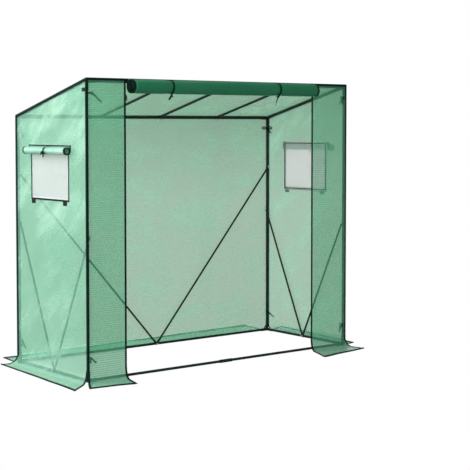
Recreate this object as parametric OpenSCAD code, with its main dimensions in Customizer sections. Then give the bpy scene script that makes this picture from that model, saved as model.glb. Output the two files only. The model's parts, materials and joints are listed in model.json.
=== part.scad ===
// Lean-to greenhouse for tomatoes: a bolted frame of steel tubes under a sewn cover of
// reinforced sheet, with a roll-up front door and a roll-up flap over a net window in each side.
// Millimetres, +Z up, the door side faces -Y, the origin is on the ground under the middle.

/* [Overall size] */
// Width over the outer faces of the two side walls
cover_w = 1960; // [1700:10:2300]
// Depth over the outer faces of the front and rear walls
cover_d = 780; // [680:10:1000]
// Height of the roof along its front edge
front_h = 1680; // [1580:10:1900]
// Height of the roof along its rear edge
rear_h = 1480; // [1380:10:1560]

/* [Frame tubes] */
// Outside diameter of the frame tubes
tube_d = 16; // [14:0.5:20]
// Wall thickness of every tube
tube_wall = 0.8; // [0.6:0.1:1.2]
// Outside diameter of the brace tubes
brace_d = 12; // [10:0.5:14]
// Length of a narrowed tube end inside the next tube
swage_l = 40; // [25:5:60]
// Radial play of a narrowed end in the next tube
swage_play = 0.1; // [0.05:0.05:0.3]
// Height of the joint between the lower and upper post tubes
post_joint_z = 700; // [500:10:740]
// Place of the joint in the two top rails, from the middle
top_joint_x = -20; // [-200:10:0]
// Place of the joint in the rear ground rail, from the middle
rear_joint_x = -140; // [-300:10:-80]

/* [Rafters] */
// Place of the first inner rafter, from the middle
rafter_1_x = -394; // [-500:2:-300]
// Place of the second inner rafter, from the middle
rafter_2_x = 56; // [30:2:150]
// Place of the third inner rafter, from the middle
rafter_3_x = 523; // [400:1:600]

/* [Braces] */
// Foot of the rear braces on the rear ground rail, from the middle
brace_foot_x = 25; // [-50:5:100]
// Height of the rear braces' bolts on the rear posts
rear_brace_z = 1135; // [900:5:1250]
// Height of the side braces' bolts on the rear posts
side_rear_z = 845; // [780:5:880]
// Height of the side braces' bolts on the front posts
side_front_z = 800; // [780:5:900]
// Share of a rear brace's length that its lower tube takes
brace_split = 0.52; // [0.4:0.01:0.6]

/* [Flattened tube ends] */
// Thickness of a flattened end
tab_t = 1.8; // [1.2:0.1:2.4]
// Width of a flattened end
tab_w = 16; // [14:0.5:17]
// Length from the bolt hole to where the tube starts to round
tab_l = 20; // [18:1:28]
// Length over which the flat end turns into the round tube
crush_l = 22; // [16:1:30]

/* [Corner connectors] */
// Wall of the sockets of the corner connectors and of the rail sleeve
socket_wall = 1.9; // [1.5:0.1:3]
// Length of a socket from the corner point
socket_l = 50; // [40:1:70]
// Distance from the corner point to a tube's end
tube_inset = 14; // [12:1:20]
// Length of the sleeve over the joint in the front ground rail
sleeve_l = 90; // [60:5:140]
// Radial play of a tube in a socket
socket_play = 0.1; // [0.05:0.05:0.2]

/* [Fasteners] */
// Diameter of the bolts
bolt_d = 6; // [5:0.5:6]
// Diameter of a bolt's domed head
head_d = 12; // [10:0.5:14]
// Height of a bolt's domed head
head_t = 1.7; // [1.2:0.1:1.8]
// Diameter of a wing nut's hub
nut_d = 11; // [10:0.5:13]
// Height of a wing nut's hub
nut_h = 5; // [4:0.5:7]
// Span over the wings of a nut
wing_span = 26; // [20:1:30]
// Thickness of a nut's wings
wing_t = 2; // [1.5:0.1:2.5]
// Length of a bolt past its nut
bolt_past = 2; // [1:0.5:4]

/* [Cover] */
// Thickness of the sheet
cover_t = 1; // [0.6:0.1:1.4]
// Width of the skirt that lies on the ground, from the wall outwards
skirt_w = 175; // [120:5:240]
// Radius of the bend between a wall and its skirt
foot_r = 60; // [30:5:90]
// Width of the sewn edge binding
binding_w = 12; // [8:1:18]
// Thickness of the edge binding
binding_t = 0.8; // [0.5:0.1:1.2]
// How far the left skirt's front end runs out forwards
left_skirt_front = 150; // [0:10:160]
// Width of the left skirt at its rear end
left_skirt_rear_w = 105; // [80:5:175]
// How far the left skirt's rear end runs out backwards
left_skirt_rear = 15; // [0:5:100]
// Width of the right skirt at its front end
right_skirt_front_w = 105; // [80:5:175]
// How far the right skirt's front end is cut back
right_skirt_cut = 30; // [0:5:120]
// How far the right skirt's rear end runs out backwards
right_skirt_rear = 50; // [0:5:100]
// How far the front left skirt's outer end runs out sideways
front_skirt_out = 86; // [0:2:140]
// How far the front left skirt's edge turns out at its inner end and in at its outer end
front_left_turn = 25; // [0:5:50]
// How far the front left skirt's inner end slants to the left
front_left_slant = 65; // [0:5:100]
// How much wider the front right skirt is at its inner end
front_right_flare = 75; // [0:5:120]
// How far the front right skirt's inner end slants to the left
front_right_slant = 115; // [0:5:140]
// How much wider the rear skirt is at its right end
rear_flare = 75; // [0:5:120]
// Length of the patch sewn over the end of the upper front tie, on the left wall
patch_l = 44; // [30:2:60]
// Height of that patch
patch_h = 14; // [10:1:20]
// Height of the patch's middle below the roof's front edge
patch_drop = 64; // [50:2:90]

/* [Door] */
// Width of the doorway between the two zips
door_w = 1400; // [1200:10:1500]
// Middle of the doorway, from the middle of the front
door_x = -20; // [-60:5:60]
// Outside diameter of the rolled-up door
door_roll_d = 84; // [78:1:100]
// Height of the rolled-up door's centre line below the roof's front edge
door_roll_drop = 42; // [42:1:60]
// Step from one turn of a rolled sheet to the next
roll_pitch = 2.15; // [1.8:0.05:2.6]
// Distance between the end of the rolled door and the middle of the zip
door_side_gap = 10; // [9:1:20]
// Place of the left door tie, from the middle
door_tie_1_x = -445; // [-600:5:-410]
// Place of the right door tie, from the middle
door_tie_2_x = 345; // [200:5:500]
// Width of the tape of a zip beside its teeth
zip_tape_w = 12; // [8:1:20]
// Side of the square bead of teeth
zip_bead = 3; // [2:0.5:4]
// Length of a zip slider
slider_l = 20; // [14:1:30]
// Length of a slider's pull tab
pull_l = 28; // [20:1:40]
// Width of a slider's pull tab
pull_w = 7; // [5:0.5:9]
// Thickness of a slider's pull tab
pull_t = 1.6; // [1.2:0.1:2.4]
// Wall of a slider round the teeth
slider_wall = 3; // [2:0.5:4]

/* [Windows] */
// Width of a window
window_w = 400; // [300:10:460]
// Height of a window
window_h = 300; // [240:10:340]
// Height of a window's lower edge above the ground
window_z = 1000; // [950:10:1020]
// Gaps across a net
net_gaps_w = 14; // [8:1:14]
// Gaps up a net
net_gaps_h = 10; // [6:1:10]
// Thickness of the net's cords
net_cord = 1.6; // [1:0.1:2.4]
// Width of the net's sewn border
net_border = 14; // [8:1:20]
// Outside diameter of a rolled-up flap
flap_roll_d = 46; // [40:1:56]
// How far a flap reaches past the window on each side
flap_side = 30; // [20:2:50]
// Length of the sheet in a flap
flap_l = 330; // [260:10:360]
// Height of a flap's seam above its window, and of the roll below the seam
flap_seam_rise = 3; // [2:0.5:6]

/* [Ties and pads] */
// Width of the tie ribbons
ribbon_w = 11; // [8:0.5:14]
// Thickness of the tie ribbons
ribbon_t = 1; // [0.8:0.1:1.2]
// Radius of a knot
knot_r = 5; // [4:0.5:6]
// Length of the long tail of a door tie
door_tail_l = 82; // [40:2:110]
// Length of the long tail of a flap tie
flap_tail_l = 30; // [20:2:50]
// Length of the long tail of a post tie
post_tail_l = 56; // [30:2:80]
// Length of the long tail of the upper front left tie
front_tail_l = 110; // [60:5:130]
// Height of the lower post ties
low_tie_z = 130; // [90:5:200]
// Width of a hook pad
pad_w = 36; // [24:1:44]
// Height of a hook pad
pad_h = 29; // [20:1:36]
// Thickness of a hook pad
pad_t = 1.4; // [0.8:0.1:1.6]

/* [Hidden] */
$fn = 48;

// Gap between soft pieces and what they rest on
seat = 0.3;
// Play between two pieces of the frame that lie on each other
touch = 0.1;
// Radial play of a bolt in its hole
bolt_play = 0.15;
// Length of solid tube between the crushed end and the bore
plug_l = 2;
// Thickness of the slice of a flat end that it widens from
slice_t = 0.5;
// Step from the widened end out to the round tube
crush_step = 0.2;
// Reach of a slider's bail in front of its body, and the bail's side and height
bail_reach = 2.5;
bail_w = 4;
bail_h = 5;
// Step down from a connector's body to its next socket, and from that to the third
hub_step = 0.3;
// Points on one turn of a rolled sheet
turn_steps = 20;
// Reach of a cutting shape past what it cuts
past = 5;

half_w = cover_w / 2;
half_d = cover_d / 2;
slope = atan((front_h - rear_h) / cover_d);
// The sheet's thickness measured straight up through the sloping roof
roof_t = cover_t / cos(slope);
// Direction straight out of the roof, and down along it to the rear
roof_out = [0, sin(slope), cos(slope)];
roof_down = [0, cos(slope), -sin(slope)];

function roof_z(y) = front_h - (y + half_d) * tan(slope);
function roof_under(y) = roof_z(y) - roof_t;

tube_r = tube_d / 2;
socket_r = tube_r + socket_play + socket_wall;
// The corner connectors are thicker than the tubes, so they carry the cover and meet the ground
post_x = half_w - cover_t - seat - socket_r;
post_y = half_d - cover_t - seat - socket_r;
ground_z = socket_r;
// The roof clears the bolt heads on top of the rafters' flattened ends
rafter_rise = touch + tab_t;
roof_lift = max(tube_r + rafter_rise + touch + head_t, socket_r) + seat;
front_z = roof_under(-post_y) - roof_lift / cos(slope);
rear_z = roof_under(post_y) - roof_lift / cos(slope);
rafter_x = [rafter_1_x, rafter_2_x, rafter_3_x];

// The two tabs at a brace's foot meet in this plane, inside the tubes that they are bolted to
brace_off = tube_r + touch + tab_t;
door_edge = door_w / 2 + zip_tape_w;
zip_z = foot_r + cover_t;
zip_top = front_h - door_roll_drop;
door_len = front_h - foot_r;
door_half = door_w / 2 - door_side_gap;
door_roll_r = door_roll_d / 2;
door_roll_y = -(half_d + seat + ribbon_t + seat + door_roll_r);
door_roll_z = front_h - door_roll_drop;
flap_roll_r = flap_roll_d / 2;
flap_seam_z = window_z + window_h + flap_seam_rise;
flap_off = seat + ribbon_t + seat;
flap_roll_x = half_w + flap_off + flap_roll_r;
flap_roll_z = flap_seam_z - flap_roll_r - flap_seam_rise;
slider_z = door_roll_z - door_roll_r - slider_l - past;

front_left = [-post_x, -post_y];
front_right = [post_x, -post_y];
rear_left = [-post_x, post_y];
rear_right = [post_x, post_y];

function at(corner, z) = [corner[0], corner[1], z];

// Each wall: how far out its outer face is, its turn from facing +Y, and the plan of its skirt, from
// the wall out, along the outer edge and back to the wall, with the skirt on the left
skirt_x = half_w + skirt_w;
skirt_y = half_d + skirt_w;
skirt_reach = skirt_w + max(front_right_flare, front_left_turn, rear_flare) + past;
door_left = door_x - door_edge;
door_right = door_x + door_edge;
side_end = half_d - cover_t;
rear_wall = [half_d, 0, [
    [half_w, half_d], [half_w, skirt_y + rear_flare], [-half_w, skirt_y], [-half_w, half_d]
]];
left_wall = [half_w, 90, [
    [-half_w, side_end], [-half_w - left_skirt_rear_w, half_d + left_skirt_rear],
    [-skirt_x, -half_d - left_skirt_front], [-half_w, -side_end]
]];
right_wall = [half_w, -90, [
    [half_w, -side_end], [half_w + right_skirt_front_w, -half_d + right_skirt_cut],
    [skirt_x, half_d + right_skirt_rear], [half_w, side_end]
]];
front_left_wall = [half_d, 180, [
    [-half_w, -half_d], [-half_w - front_skirt_out, -skirt_y + front_left_turn],
    [door_left - front_left_slant, -skirt_y - front_left_turn], [door_left, -half_d]
]];
front_right_wall = [half_d, 180, [
    [door_right, -half_d], [door_right - front_right_slant, -skirt_y - front_right_flare],
    [half_w, -skirt_y], [half_w, -half_d]
]];

// A strip as wide as the binding, on the left of the way from one point to the next
function edge_strip(from, to) =
    let (way = (to - from) / norm(to - from), in = binding_w * [-way[1], way[0]])
    [from, to, to + in, from + in];

// Each bolt: a point on the axis of the tube that it goes through, the way its head faces, how many
// flattened ends lie under the head and under the nut, and the turn that lays the wings along the tube
rafter_bolts = [
    for (x = rafter_x) each [[[x, -post_y, front_z], roof_out, 1, 0, 0], [[x, post_y, rear_z], roof_out, 1, 0, 0]]
];
rear_brace_bolts = [
    [[brace_foot_x, post_y, ground_z], [0, 1, 0], 0, 2, 0],
    [at(rear_left, rear_brace_z), [0, 1, 0], 0, 1, 90],
    [at(rear_right, rear_brace_z), [0, 1, 0], 0, 1, 90]
];
side_brace_bolts = [
    for (side = [-1, 1]) each [
        [[side * post_x, 0, ground_z], [side, 0, 0], 0, 2, 0],
        [[side * post_x, -post_y, side_front_z], [side, 0, 0], 0, 1, 90],
        [[side * post_x, post_y, side_rear_z], [side, 0, 0], 0, 1, 90]
    ]
];
all_bolts = concat(rafter_bolts, rear_brace_bolts, side_brace_bolts);

// A rolled sheet: the turns that a length takes, and the radius at each angle from the outer end
function roll_turns(r, length) =
    (r - sqrt(r * r - roll_pitch * length / PI)) / roll_pitch;
function roll_steps(r, length) = round(roll_turns(r, length) * turn_steps);
function roll_point(r, i) =
    let (reach = r - roll_pitch * i / turn_steps, angle = -360 * i / turn_steps)
    reach * [cos(angle), sin(angle)];
function roll_edge(r, steps) = [for (i = [0:steps]) roll_point(r, i)];
function back_to_front(points) = [for (i = [len(points) - 1:-1:0]) points[i]];
function roll_gap(outer, inner) =
    min([for (i = [0:len(inner) - 1 - turn_steps]) norm(inner[i] - outer[i + turn_steps])]);

// Stands what is drawn upwards along the line from a towards b
module aim(a, b) {
    v = b - a;
    translate(a)
        rotate([0, acos(v[2] / norm(v)), atan2(v[1], v[0])])
            children();
}

// Turns a flat drawing of outward distance and height into a strip that runs along X, outwards +Y
module along_x(length) {
    translate([-length / 2, 0, 0])
        rotate([90, 0, 90])
            linear_extrude(length)
                children();
}

// A hollow tube from z = 0 to l, with a narrowed end past l where it goes into the next tube
module tube(l, d, swaged = false) {
    bore = d - 2 * tube_wall;
    neck = bore - 2 * swage_play;
    difference() {
        union() {
            cylinder(d = d, h = l);
            if (swaged) cylinder(d = neck, h = l + swage_l);
        }
        translate([0, 0, -past])
            cylinder(d = swaged ? neck - 2 * tube_wall : bore, h = l + swage_l + 2 * past);
        if (swaged)
            translate([0, 0, -past])
                cylinder(d = bore, h = l + past - plug_l);
    }
}

// Cuts the bolt holes of the tube that is drawn
module drilled(bolts) {
    difference() {
        children();
        for (b = bolts)
            aim(b[0], b[0] + b[1])
                cylinder(d = bolt_d + 2 * bolt_play, h = 3 * tube_d, center = true);
    }
}

// A tube end beaten flat: the bolt hole is at z = 0 and the round tube starts above it.
// The flat lies off the tube's axis by shift along Y
module crushed_end(d, shift) {
    difference() {
        union() {
            translate([0, shift, 0])
                rotate([90, 0, 0])
                    cylinder(d = tab_w, h = tab_t, center = true);
            translate([-tab_w / 2, shift - tab_t / 2, 0])
                cube([tab_w, tab_t, tab_l]);
            hull() {
                translate([-tab_w / 2, shift - tab_t / 2, tab_l - slice_t])
                    cube([tab_w, tab_t, slice_t]);
                translate([0, 0, tab_l + crush_l])
                    cylinder(d = d - 2 * crush_step, h = plug_l / 2, $fn = 32);
            }
        }
        translate([0, shift, 0])
            rotate([90, 0, 0])
                cylinder(d = bolt_d + 2 * bolt_play, h = 3 * tab_t, center = true);
    }
}

// A tube from one bolt hole to another, both ends beaten flat
module flat_ended_tube(l, d, shift_a, shift_b) {
    start = tab_l + crush_l;
    crushed_end(d, shift_a);
    translate([0, 0, l])
        mirror([0, 0, 1])
            crushed_end(d, shift_b);
    translate([0, 0, start])
        difference() {
            cylinder(d = d, h = l - 2 * start);
            translate([0, 0, plug_l])
                cylinder(d = d - 2 * tube_wall, h = l - 2 * start - 2 * plug_l);
        }
}

// One tube of a two-part brace, from its bolt hole to the joint at l
module flat_ended_half(l, d, shift, swaged) {
    start = tab_l + crush_l;
    crushed_end(d, shift);
    translate([0, 0, start])
        tube(l - start, d, swaged);
    translate([0, 0, start])
        cylinder(d = d - 2 * tube_wall + 2 * touch, h = plug_l);
}

// A socket along X, closed past the corner point, with the other two sockets standing out of it
module corner_connector(p, inward, ways) {
    difference() {
        union() {
            aim(p - socket_r * inward, p + inward)
                cylinder(r = socket_r, h = socket_l + socket_r);
            for (i = [0:len(ways) - 1])
                aim(p, p + ways[i])
                    cylinder(r = socket_r - (i + 1) * hub_step, h = socket_l);
        }
        for (w = concat([inward], ways))
            aim(p, p + w)
                translate([0, 0, tube_inset - plug_l])
                    cylinder(r = tube_r + socket_play, h = socket_l);
    }
}

// A carriage bolt with its head up: z = 0 is the middle of the tube that it goes through
module bolt(b) {
    top = tube_r + touch + b[2] * (tab_t + touch);
    end = tube_r + touch + b[3] * (tab_t + touch) + nut_h + bolt_past;
    aim(b[0], b[0] + b[1]) {
        translate([0, 0, top])
            rotate_extrude()
                polygon([
                    [0, 0], [head_d / 2, 0], [head_d / 2, head_t * 0.3],
                    [head_d * 0.36, head_t * 0.8], [head_d * 0.2, head_t], [0, head_t]
                ]);
        translate([0, 0, -end])
            cylinder(d = bolt_d, h = end + top);
    }
}

module wing_nut(b) {
    top = tube_r + touch + b[3] * (tab_t + touch);
    tip = wing_span / 2;
    aim(b[0], b[0] + b[1])
        translate([0, 0, -top - touch - nut_h])
            difference() {
                union() {
                    cylinder(d = nut_d, h = nut_h);
                    for (wing_turn = [90, 270])
                        rotate([90, 0, wing_turn + b[4]])
                            linear_extrude(wing_t, center = true)
                                polygon([
                                    [nut_d / 2 - wing_t / 2, nut_h], [nut_d / 2 - wing_t / 2, 0],
                                    [tip - 1.5 * wing_t, -nut_h], [tip, -nut_h], [tip, 0]
                                ]);
                }
                translate([0, 0, -nut_h])
                    cylinder(d = bolt_d + 2 * bolt_play, h = 3 * nut_h);
            }
}

// Posts
module post_lower(corner) {
    color("darkslategray")
        translate(at(corner, ground_z + tube_inset))
            tube(post_joint_z - ground_z - tube_inset, tube_d, swaged = true);
}

module post_upper(corner, top_z, bolts) {
    color("darkslategray")
        drilled(bolts)
            translate(at(corner, post_joint_z + touch))
                tube(top_z - tube_inset - post_joint_z - touch, tube_d);
}

// Rails. The right half of each jointed rail has the narrowed end
module rail_left(y, z, joint_x, bolts = []) {
    color("darkslategray")
        drilled(bolts)
            aim([-post_x + tube_inset, y, z], [joint_x, y, z])
                tube(joint_x + post_x - tube_inset, tube_d);
}

module rail_right(y, z, joint_x, bolts = [], swaged = true) {
    color("darkslategray")
        drilled(bolts)
            aim([post_x - tube_inset, y, z], [joint_x, y, z])
                tube(post_x - tube_inset - joint_x - touch, tube_d, swaged);
}

module side_ground_rail(side) {
    color("darkslategray")
        drilled([for (b = side_brace_bolts) if (b[0][1] == 0) b])
            translate([side * post_x, -post_y + tube_inset, ground_z])
                rotate([-90, 0, 0])
                    tube(2 * (post_y - tube_inset), tube_d);
}

module ground_rail_sleeve() {
    color("darkslategray")
        translate([-sleeve_l / 2, -post_y, ground_z])
            rotate([0, 90, 0])
                difference() {
                    cylinder(r = socket_r, h = sleeve_l);
                    translate([0, 0, -past])
                        cylinder(r = tube_r + socket_play, h = sleeve_l + 2 * past);
                }
}

// Rafters
module end_rafter(side) {
    a = [side * post_x, -post_y, front_z] + tube_inset * roof_down;
    b = [side * post_x, post_y, rear_z] - tube_inset * roof_down;
    color("darkslategray")
        aim(a, b)
            tube(norm(b - a), tube_d);
}

module inner_rafter(x) {
    a = [x, -post_y, front_z] + rafter_rise * roof_out;
    b = [x, post_y, rear_z] + rafter_rise * roof_out;
    color("darkslategray")
        aim(a, b)
            rotate([0, 0, 90])
                flat_ended_tube(norm(b - a), tube_d, tube_r - tab_t / 2, tube_r - tab_t / 2);
}

// Rear braces: both feet share one bolt, with the left foot lying on the right one
module rear_brace(side, upper) {
    y = post_y - brace_off;
    foot = [brace_foot_x, y, ground_z];
    head = [side * post_x, y, rear_brace_z];
    split = foot + brace_split * (head - foot);
    color("darkslategray")
        if (upper)
            aim(head, split)
                flat_ended_half(norm(head - split) - touch, brace_d, -side * tab_t / 2, false);
        else
            aim(foot, split)
                flat_ended_half(norm(split - foot), brace_d, tab_t / 2, true);
}

// Side braces, drawn for the left wall: the front one's foot lies on the rear one's
module left_brace(y_top, z_top) {
    x = -post_x + brace_off;
    foot = [x, 0, ground_z];
    head = [x, y_top, z_top];
    front = y_top < 0;
    color("darkslategray")
        aim(foot, head)
            flat_ended_tube(norm(head - foot), brace_d, tab_t / 2, front ? -tab_t / 2 : tab_t / 2);
}

// The cover's foot: wall, bend and skirt, drawn as outward distance and height
module wall_section(h) {
    middle = [foot_r, foot_r + cover_t];
    translate([-cover_t, middle[1]])
        square([cover_t, h - middle[1]]);
    intersection() {
        translate(middle)
            difference() {
                circle(r = foot_r + cover_t, $fn = 96);
                circle(r = foot_r, $fn = 96);
            }
        translate([-cover_t, 0])
            square(middle + [cover_t, 0]);
    }
    translate([foot_r, 0])
        square([skirt_reach - foot_r, cover_t]);
}

// The binding on the bend and the skirt, on the side that shows
module foot_binding_section() {
    middle = [foot_r, foot_r + cover_t];
    intersection() {
        translate(middle)
            difference() {
                circle(r = foot_r - seat, $fn = 96);
                circle(r = foot_r - seat - binding_t, $fn = 96);
            }
        square(middle);
    }
    translate([foot_r, cover_t + seat])
        square([skirt_reach - foot_r, binding_t]);
}

module under_roof() {
    along_x(2 * cover_w)
        polygon([
            [-cover_d, 0], [cover_d, 0],
            [cover_d, roof_under(cover_d)], [-cover_d, roof_under(-cover_d)]
        ]);
}

// A flat drawing of outward distance and height, run along a wall of the cover
module along_wall(w) {
    rotate([0, 0, w[1]])
        translate([0, w[0], 0])
            along_x(2 * cover_w)
                children();
}

// A wall of the cover, trimmed to its plan and to the roof
module wall(w) {
    inward = (cover_t + past) * [sin(w[1]), -cos(w[1])];
    plan = w[2];
    intersection() {
        along_wall(w)
            wall_section(front_h);
        linear_extrude(front_h)
            polygon(concat([plan[0] + inward], plan, [plan[3] + inward]));
        under_roof();
    }
}

// The binding round a wall's skirt: up one end, along the outer edge and up the other end
module skirt_binding(w) {
    plan = w[2];
    intersection() {
        along_wall(w)
            foot_binding_section();
        linear_extrude(zip_z)
            intersection() {
                polygon(plan);
                union()
                    for (i = [0:2])
                        polygon(edge_strip(plan[i], plan[i + 1]));
            }
    }
}

module rear_panel() {
    color("mediumaquamarine")
        wall(rear_wall);
}

module side_panel(w, side) {
    color("aquamarine")
        difference() {
            wall(w);
            translate([side * half_w - past, -window_w / 2, window_z])
                cube([2 * past, window_w, window_h]);
        }
}

module front_panel(w) {
    color("mediumseagreen")
        wall(w);
}

module roof_panel() {
    color("aquamarine")
        along_x(cover_w)
            polygon([
                [-half_d, roof_z(-half_d)], [half_d, roof_z(half_d)],
                [half_d, roof_under(half_d)], [-half_d, roof_under(-half_d)]
            ]);
}

// A sewn net behind a window: cords with square gaps, inside a border
module window_net(side) {
    step_w = window_w / net_gaps_w;
    step_h = window_h / net_gaps_h;
    color("lightgray")
        translate([side * (half_w - cover_t) - (side > 0 ? cover_t : 0), 0, window_z])
            rotate([90, 0, 90])
                linear_extrude(cover_t)
                    difference() {
                        translate([-window_w / 2 - net_border, -net_border])
                            square([window_w + 2 * net_border, window_h + 2 * net_border]);
                        for (i = [0:net_gaps_w - 1], j = [0:net_gaps_h - 1])
                            translate([-window_w / 2 + i * step_w + net_cord / 2, j * step_h + net_cord / 2])
                                square([step_w - net_cord, step_h - net_cord]);
                    }
}

// Edge binding: strips on the roof's four edges, on the four upright corners and round the skirts
module roof_binding(y0, y1) {
    polygon([
        [y0, roof_z(y0) + seat], [y1, roof_z(y1) + seat],
        [y1, roof_z(y1) + seat + binding_t], [y0, roof_z(y0) + seat + binding_t]
    ]);
}

module corner_binding(side, y, top) {
    translate([side * (half_w - binding_w / 2) - binding_w / 2, y, zip_z])
        cube([binding_w, binding_t, top - zip_z]);
}

// The patch over the sewn end of the upper front tie
module tie_patch() {
    translate([-half_w - seat - binding_t, -half_d, front_h - patch_drop - patch_h / 2])
        cube([binding_t, patch_l, patch_h]);
}

module edge_binding() {
    color("black") {
        for (side = [-1, 1]) {
            translate([side * (half_w - binding_w / 2), 0, 0])
                along_x(binding_w)
                    roof_binding(-half_d, half_d);
            corner_binding(side, -half_d - seat - binding_t, front_h - binding_w);
            corner_binding(side, half_d + seat, rear_h - binding_w);
        }
        along_x(cover_w - binding_w)
            roof_binding(-half_d, -half_d + binding_w);
        along_x(cover_w - binding_w)
            roof_binding(half_d - binding_w, half_d);
        for (w = [left_wall, right_wall, rear_wall, front_left_wall, front_right_wall]) skirt_binding(w);
        tie_patch();
    }
}

module hook_pads() {
    color("black")
        for (side = [-1, 1], y = [-window_w / 2 + pad_w, window_w / 2 - pad_w / 2])
            translate([side * (half_w + pad_t / 2), y, window_z - 0.6 * pad_h])
                cube([pad_t, pad_w, pad_h], center = true);
}

// Zips: the tape and the bead of teeth on the door side of each front panel
module zip(side) {
    color("black")
        translate([door_x + side * door_w / 2, -half_d, zip_z]) {
            translate([side > 0 ? 0 : -zip_tape_w, 0, 0])
                cube([zip_tape_w, cover_t, zip_top - zip_z]);
            translate([-zip_bead / 2, cover_t / 2 - zip_bead / 2, 0])
                cube([zip_bead, zip_bead, zip_top - zip_z]);
        }
}

// A slider runs round the bead and is open on the side of the tape
module zip_slider(side) {
    body_w = zip_bead + 2 * slider_wall;
    bail_z = slider_l * 0.4;
    slot = zip_bead + 2 * seat;
    color("black")
        translate([door_x + side * door_w / 2, -half_d + cover_t / 2, slider_z]) {
            difference() {
                translate([-body_w / 2, -body_w / 2, 0])
                    cube([body_w, body_w, slider_l]);
                translate([-slot / 2, -slot / 2, -past])
                    cube([slot, slot, slider_l + 2 * past]);
                translate([side > 0 ? 0 : -body_w, -cover_t / 2 - seat, -past])
                    cube([body_w, cover_t + 2 * seat, slider_l + 2 * past]);
            }
            translate([-bail_w / 2, -body_w / 2 - bail_reach, bail_z])
                cube([bail_w, bail_reach + touch, bail_h]);
            translate([-pull_w / 2, -body_w / 2 - bail_reach - pull_t + touch, bail_z + bail_h - pull_l])
                cube([pull_w, pull_t, pull_l]);
        }
}

// A rolled-up sheet, drawn with its outer end at the right and rolled in clockwise
module rolled_sheet(r, length) {
    steps = roll_steps(r, length);
    outer = roll_edge(r, steps);
    inner = roll_edge(r - cover_t, steps);
    echo(roll_radius = r, turns = steps / turn_steps, least_gap = roll_gap(outer, inner));
    polygon(concat(outer, back_to_front(inner)));
}

module door_roll() {
    color("seagreen")
        translate([door_x, door_roll_y, door_roll_z])
            along_x(2 * door_half)
                rolled_sheet(door_roll_r, door_len);
}

// The sheet between the roof's front edge and the roll
module door_strip() {
    color("seagreen")
        translate([door_x, door_roll_y + door_roll_r - cover_t, 0])
            along_x(2 * door_half)
                translate([0, door_roll_z + seat])
                    square([cover_t, front_h - door_roll_z - seat]);
}

// A ribbon round a roll: over the front, under it, and up behind the hanging sheet.
// Drawn as outward distance and height from the roll's centre, with the wall at the right
module tie_loop(r, top) {
    near = r + seat;
    far = near + ribbon_t;
    difference() {
        circle(r = far, $fn = 64);
        circle(r = near, $fn = 64);
        square([2 * far, 2 * far]);
    }
    translate([0, near])
        square([r - cover_t - seat, ribbon_t]);
    translate([near, 0])
        square([ribbon_t, top]);
}

// A knot with a long and a short tail, each turned from straight down
module tie_knot(long, turns) {
    sphere(r = knot_r);
    for (tail = [[turns[0], long], [turns[1], long / 2]])
        rotate([0, tail[0], 0])
            translate([-ribbon_w / 2, -ribbon_t / 2, -tail[1]])
                cube([ribbon_w, ribbon_t, tail[1]]);
}

// Moves a knot to the front of a roll, below its middle by an angle
module on_roll(r, below) {
    translate((r + seat + ribbon_t / 2 + knot_r) * [0, -cos(below), -sin(below)])
        children();
}

module door_ties() {
    color("darkgreen")
        for (tie = [[door_tie_1_x, 45, 15], [door_tie_2_x, 30, -10]])
            translate([tie[0], door_roll_y, door_roll_z]) {
                along_x(ribbon_w)
                    tie_loop(door_roll_r, roof_under(-half_d) - door_roll_z - seat);
                on_roll(door_roll_r, 65)
                    tie_knot(door_tail_l, [tie[1], tie[2]]);
            }
}

// Window flaps, drawn for the wall at the right and turned for the other
module on_side(side) {
    rotate([0, 0, side > 0 ? 90 : -90])
        translate([0, -flap_roll_x, flap_roll_z])
            children();
}

module flap_roll(side) {
    color("mediumaquamarine")
        on_side(side)
            along_x(window_w + 2 * flap_side)
                rolled_sheet(flap_roll_r, flap_l);
}

module flap_strip(side) {
    color("mediumaquamarine")
        on_side(side)
            along_x(window_w + 2 * flap_side)
                translate([flap_roll_r - cover_t, seat])
                    square([cover_t, flap_seam_z - flap_roll_z - seat]);
}

module flap_tie(side) {
    color("darkgreen")
        on_side(side) {
            along_x(ribbon_w)
                tie_loop(flap_roll_r, flap_seam_z - flap_roll_z);
            on_roll(flap_roll_r, 25)
                tie_knot(flap_tail_l, [60, -55]);
        }
}

// A ribbon knotted round a post, its tails leaning out from the post inside the cover
module post_tie(corner, z, turn, lean, long) {
    translate(at(corner, z))
        rotate([0, 0, turn]) {
            difference() {
                cylinder(r = tube_r + seat + ribbon_t, h = ribbon_w);
                translate([0, 0, -past])
                    cylinder(r = tube_r + seat, h = ribbon_w + 2 * past);
            }
            translate([0, -tube_r - seat - ribbon_t / 2 - knot_r, ribbon_w / 2]) {
                sphere(r = knot_r);
                for (tail = [[lean, long], [lean / 3, long / 2]])
                    rotate([-tail[0], 0, 0])
                        translate([-ribbon_t / 2, -ribbon_w / 2, -tail[1]])
                            cube([ribbon_t, ribbon_w, tail[1]]);
            }
        }
}

module post_ties() {
    high_front = front_z - socket_l - 2 * ribbon_w;
    high_rear = rear_z - socket_l - 2 * ribbon_w;
    color("darkgreen") {
        post_tie(front_left, low_tie_z, 100, 50, post_tail_l);
        post_tie(front_left, high_front, 90, 57, front_tail_l);
        post_tie(front_right, low_tie_z, -100, 25, post_tail_l);
        post_tie(front_right, high_front, -95, 30, post_tail_l);
        post_tie(rear_left, low_tie_z, 45, 40, post_tail_l);
        post_tie(rear_left, high_rear, 45, 25, post_tail_l);
        post_tie(rear_right, low_tie_z, -45, 30, post_tail_l);
        post_tie(rear_right, high_rear, -45, 25, post_tail_l);
    }
}

module top_corner_connectors() {
    color("black")
        for (side = [-1, 1]) {
            corner_connector([side * post_x, -post_y, front_z], [-side, 0, 0], [[0, 0, -1], roof_down]);
            corner_connector([side * post_x, post_y, rear_z], [-side, 0, 0], [[0, 0, -1], -roof_down]);
        }
}

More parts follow.
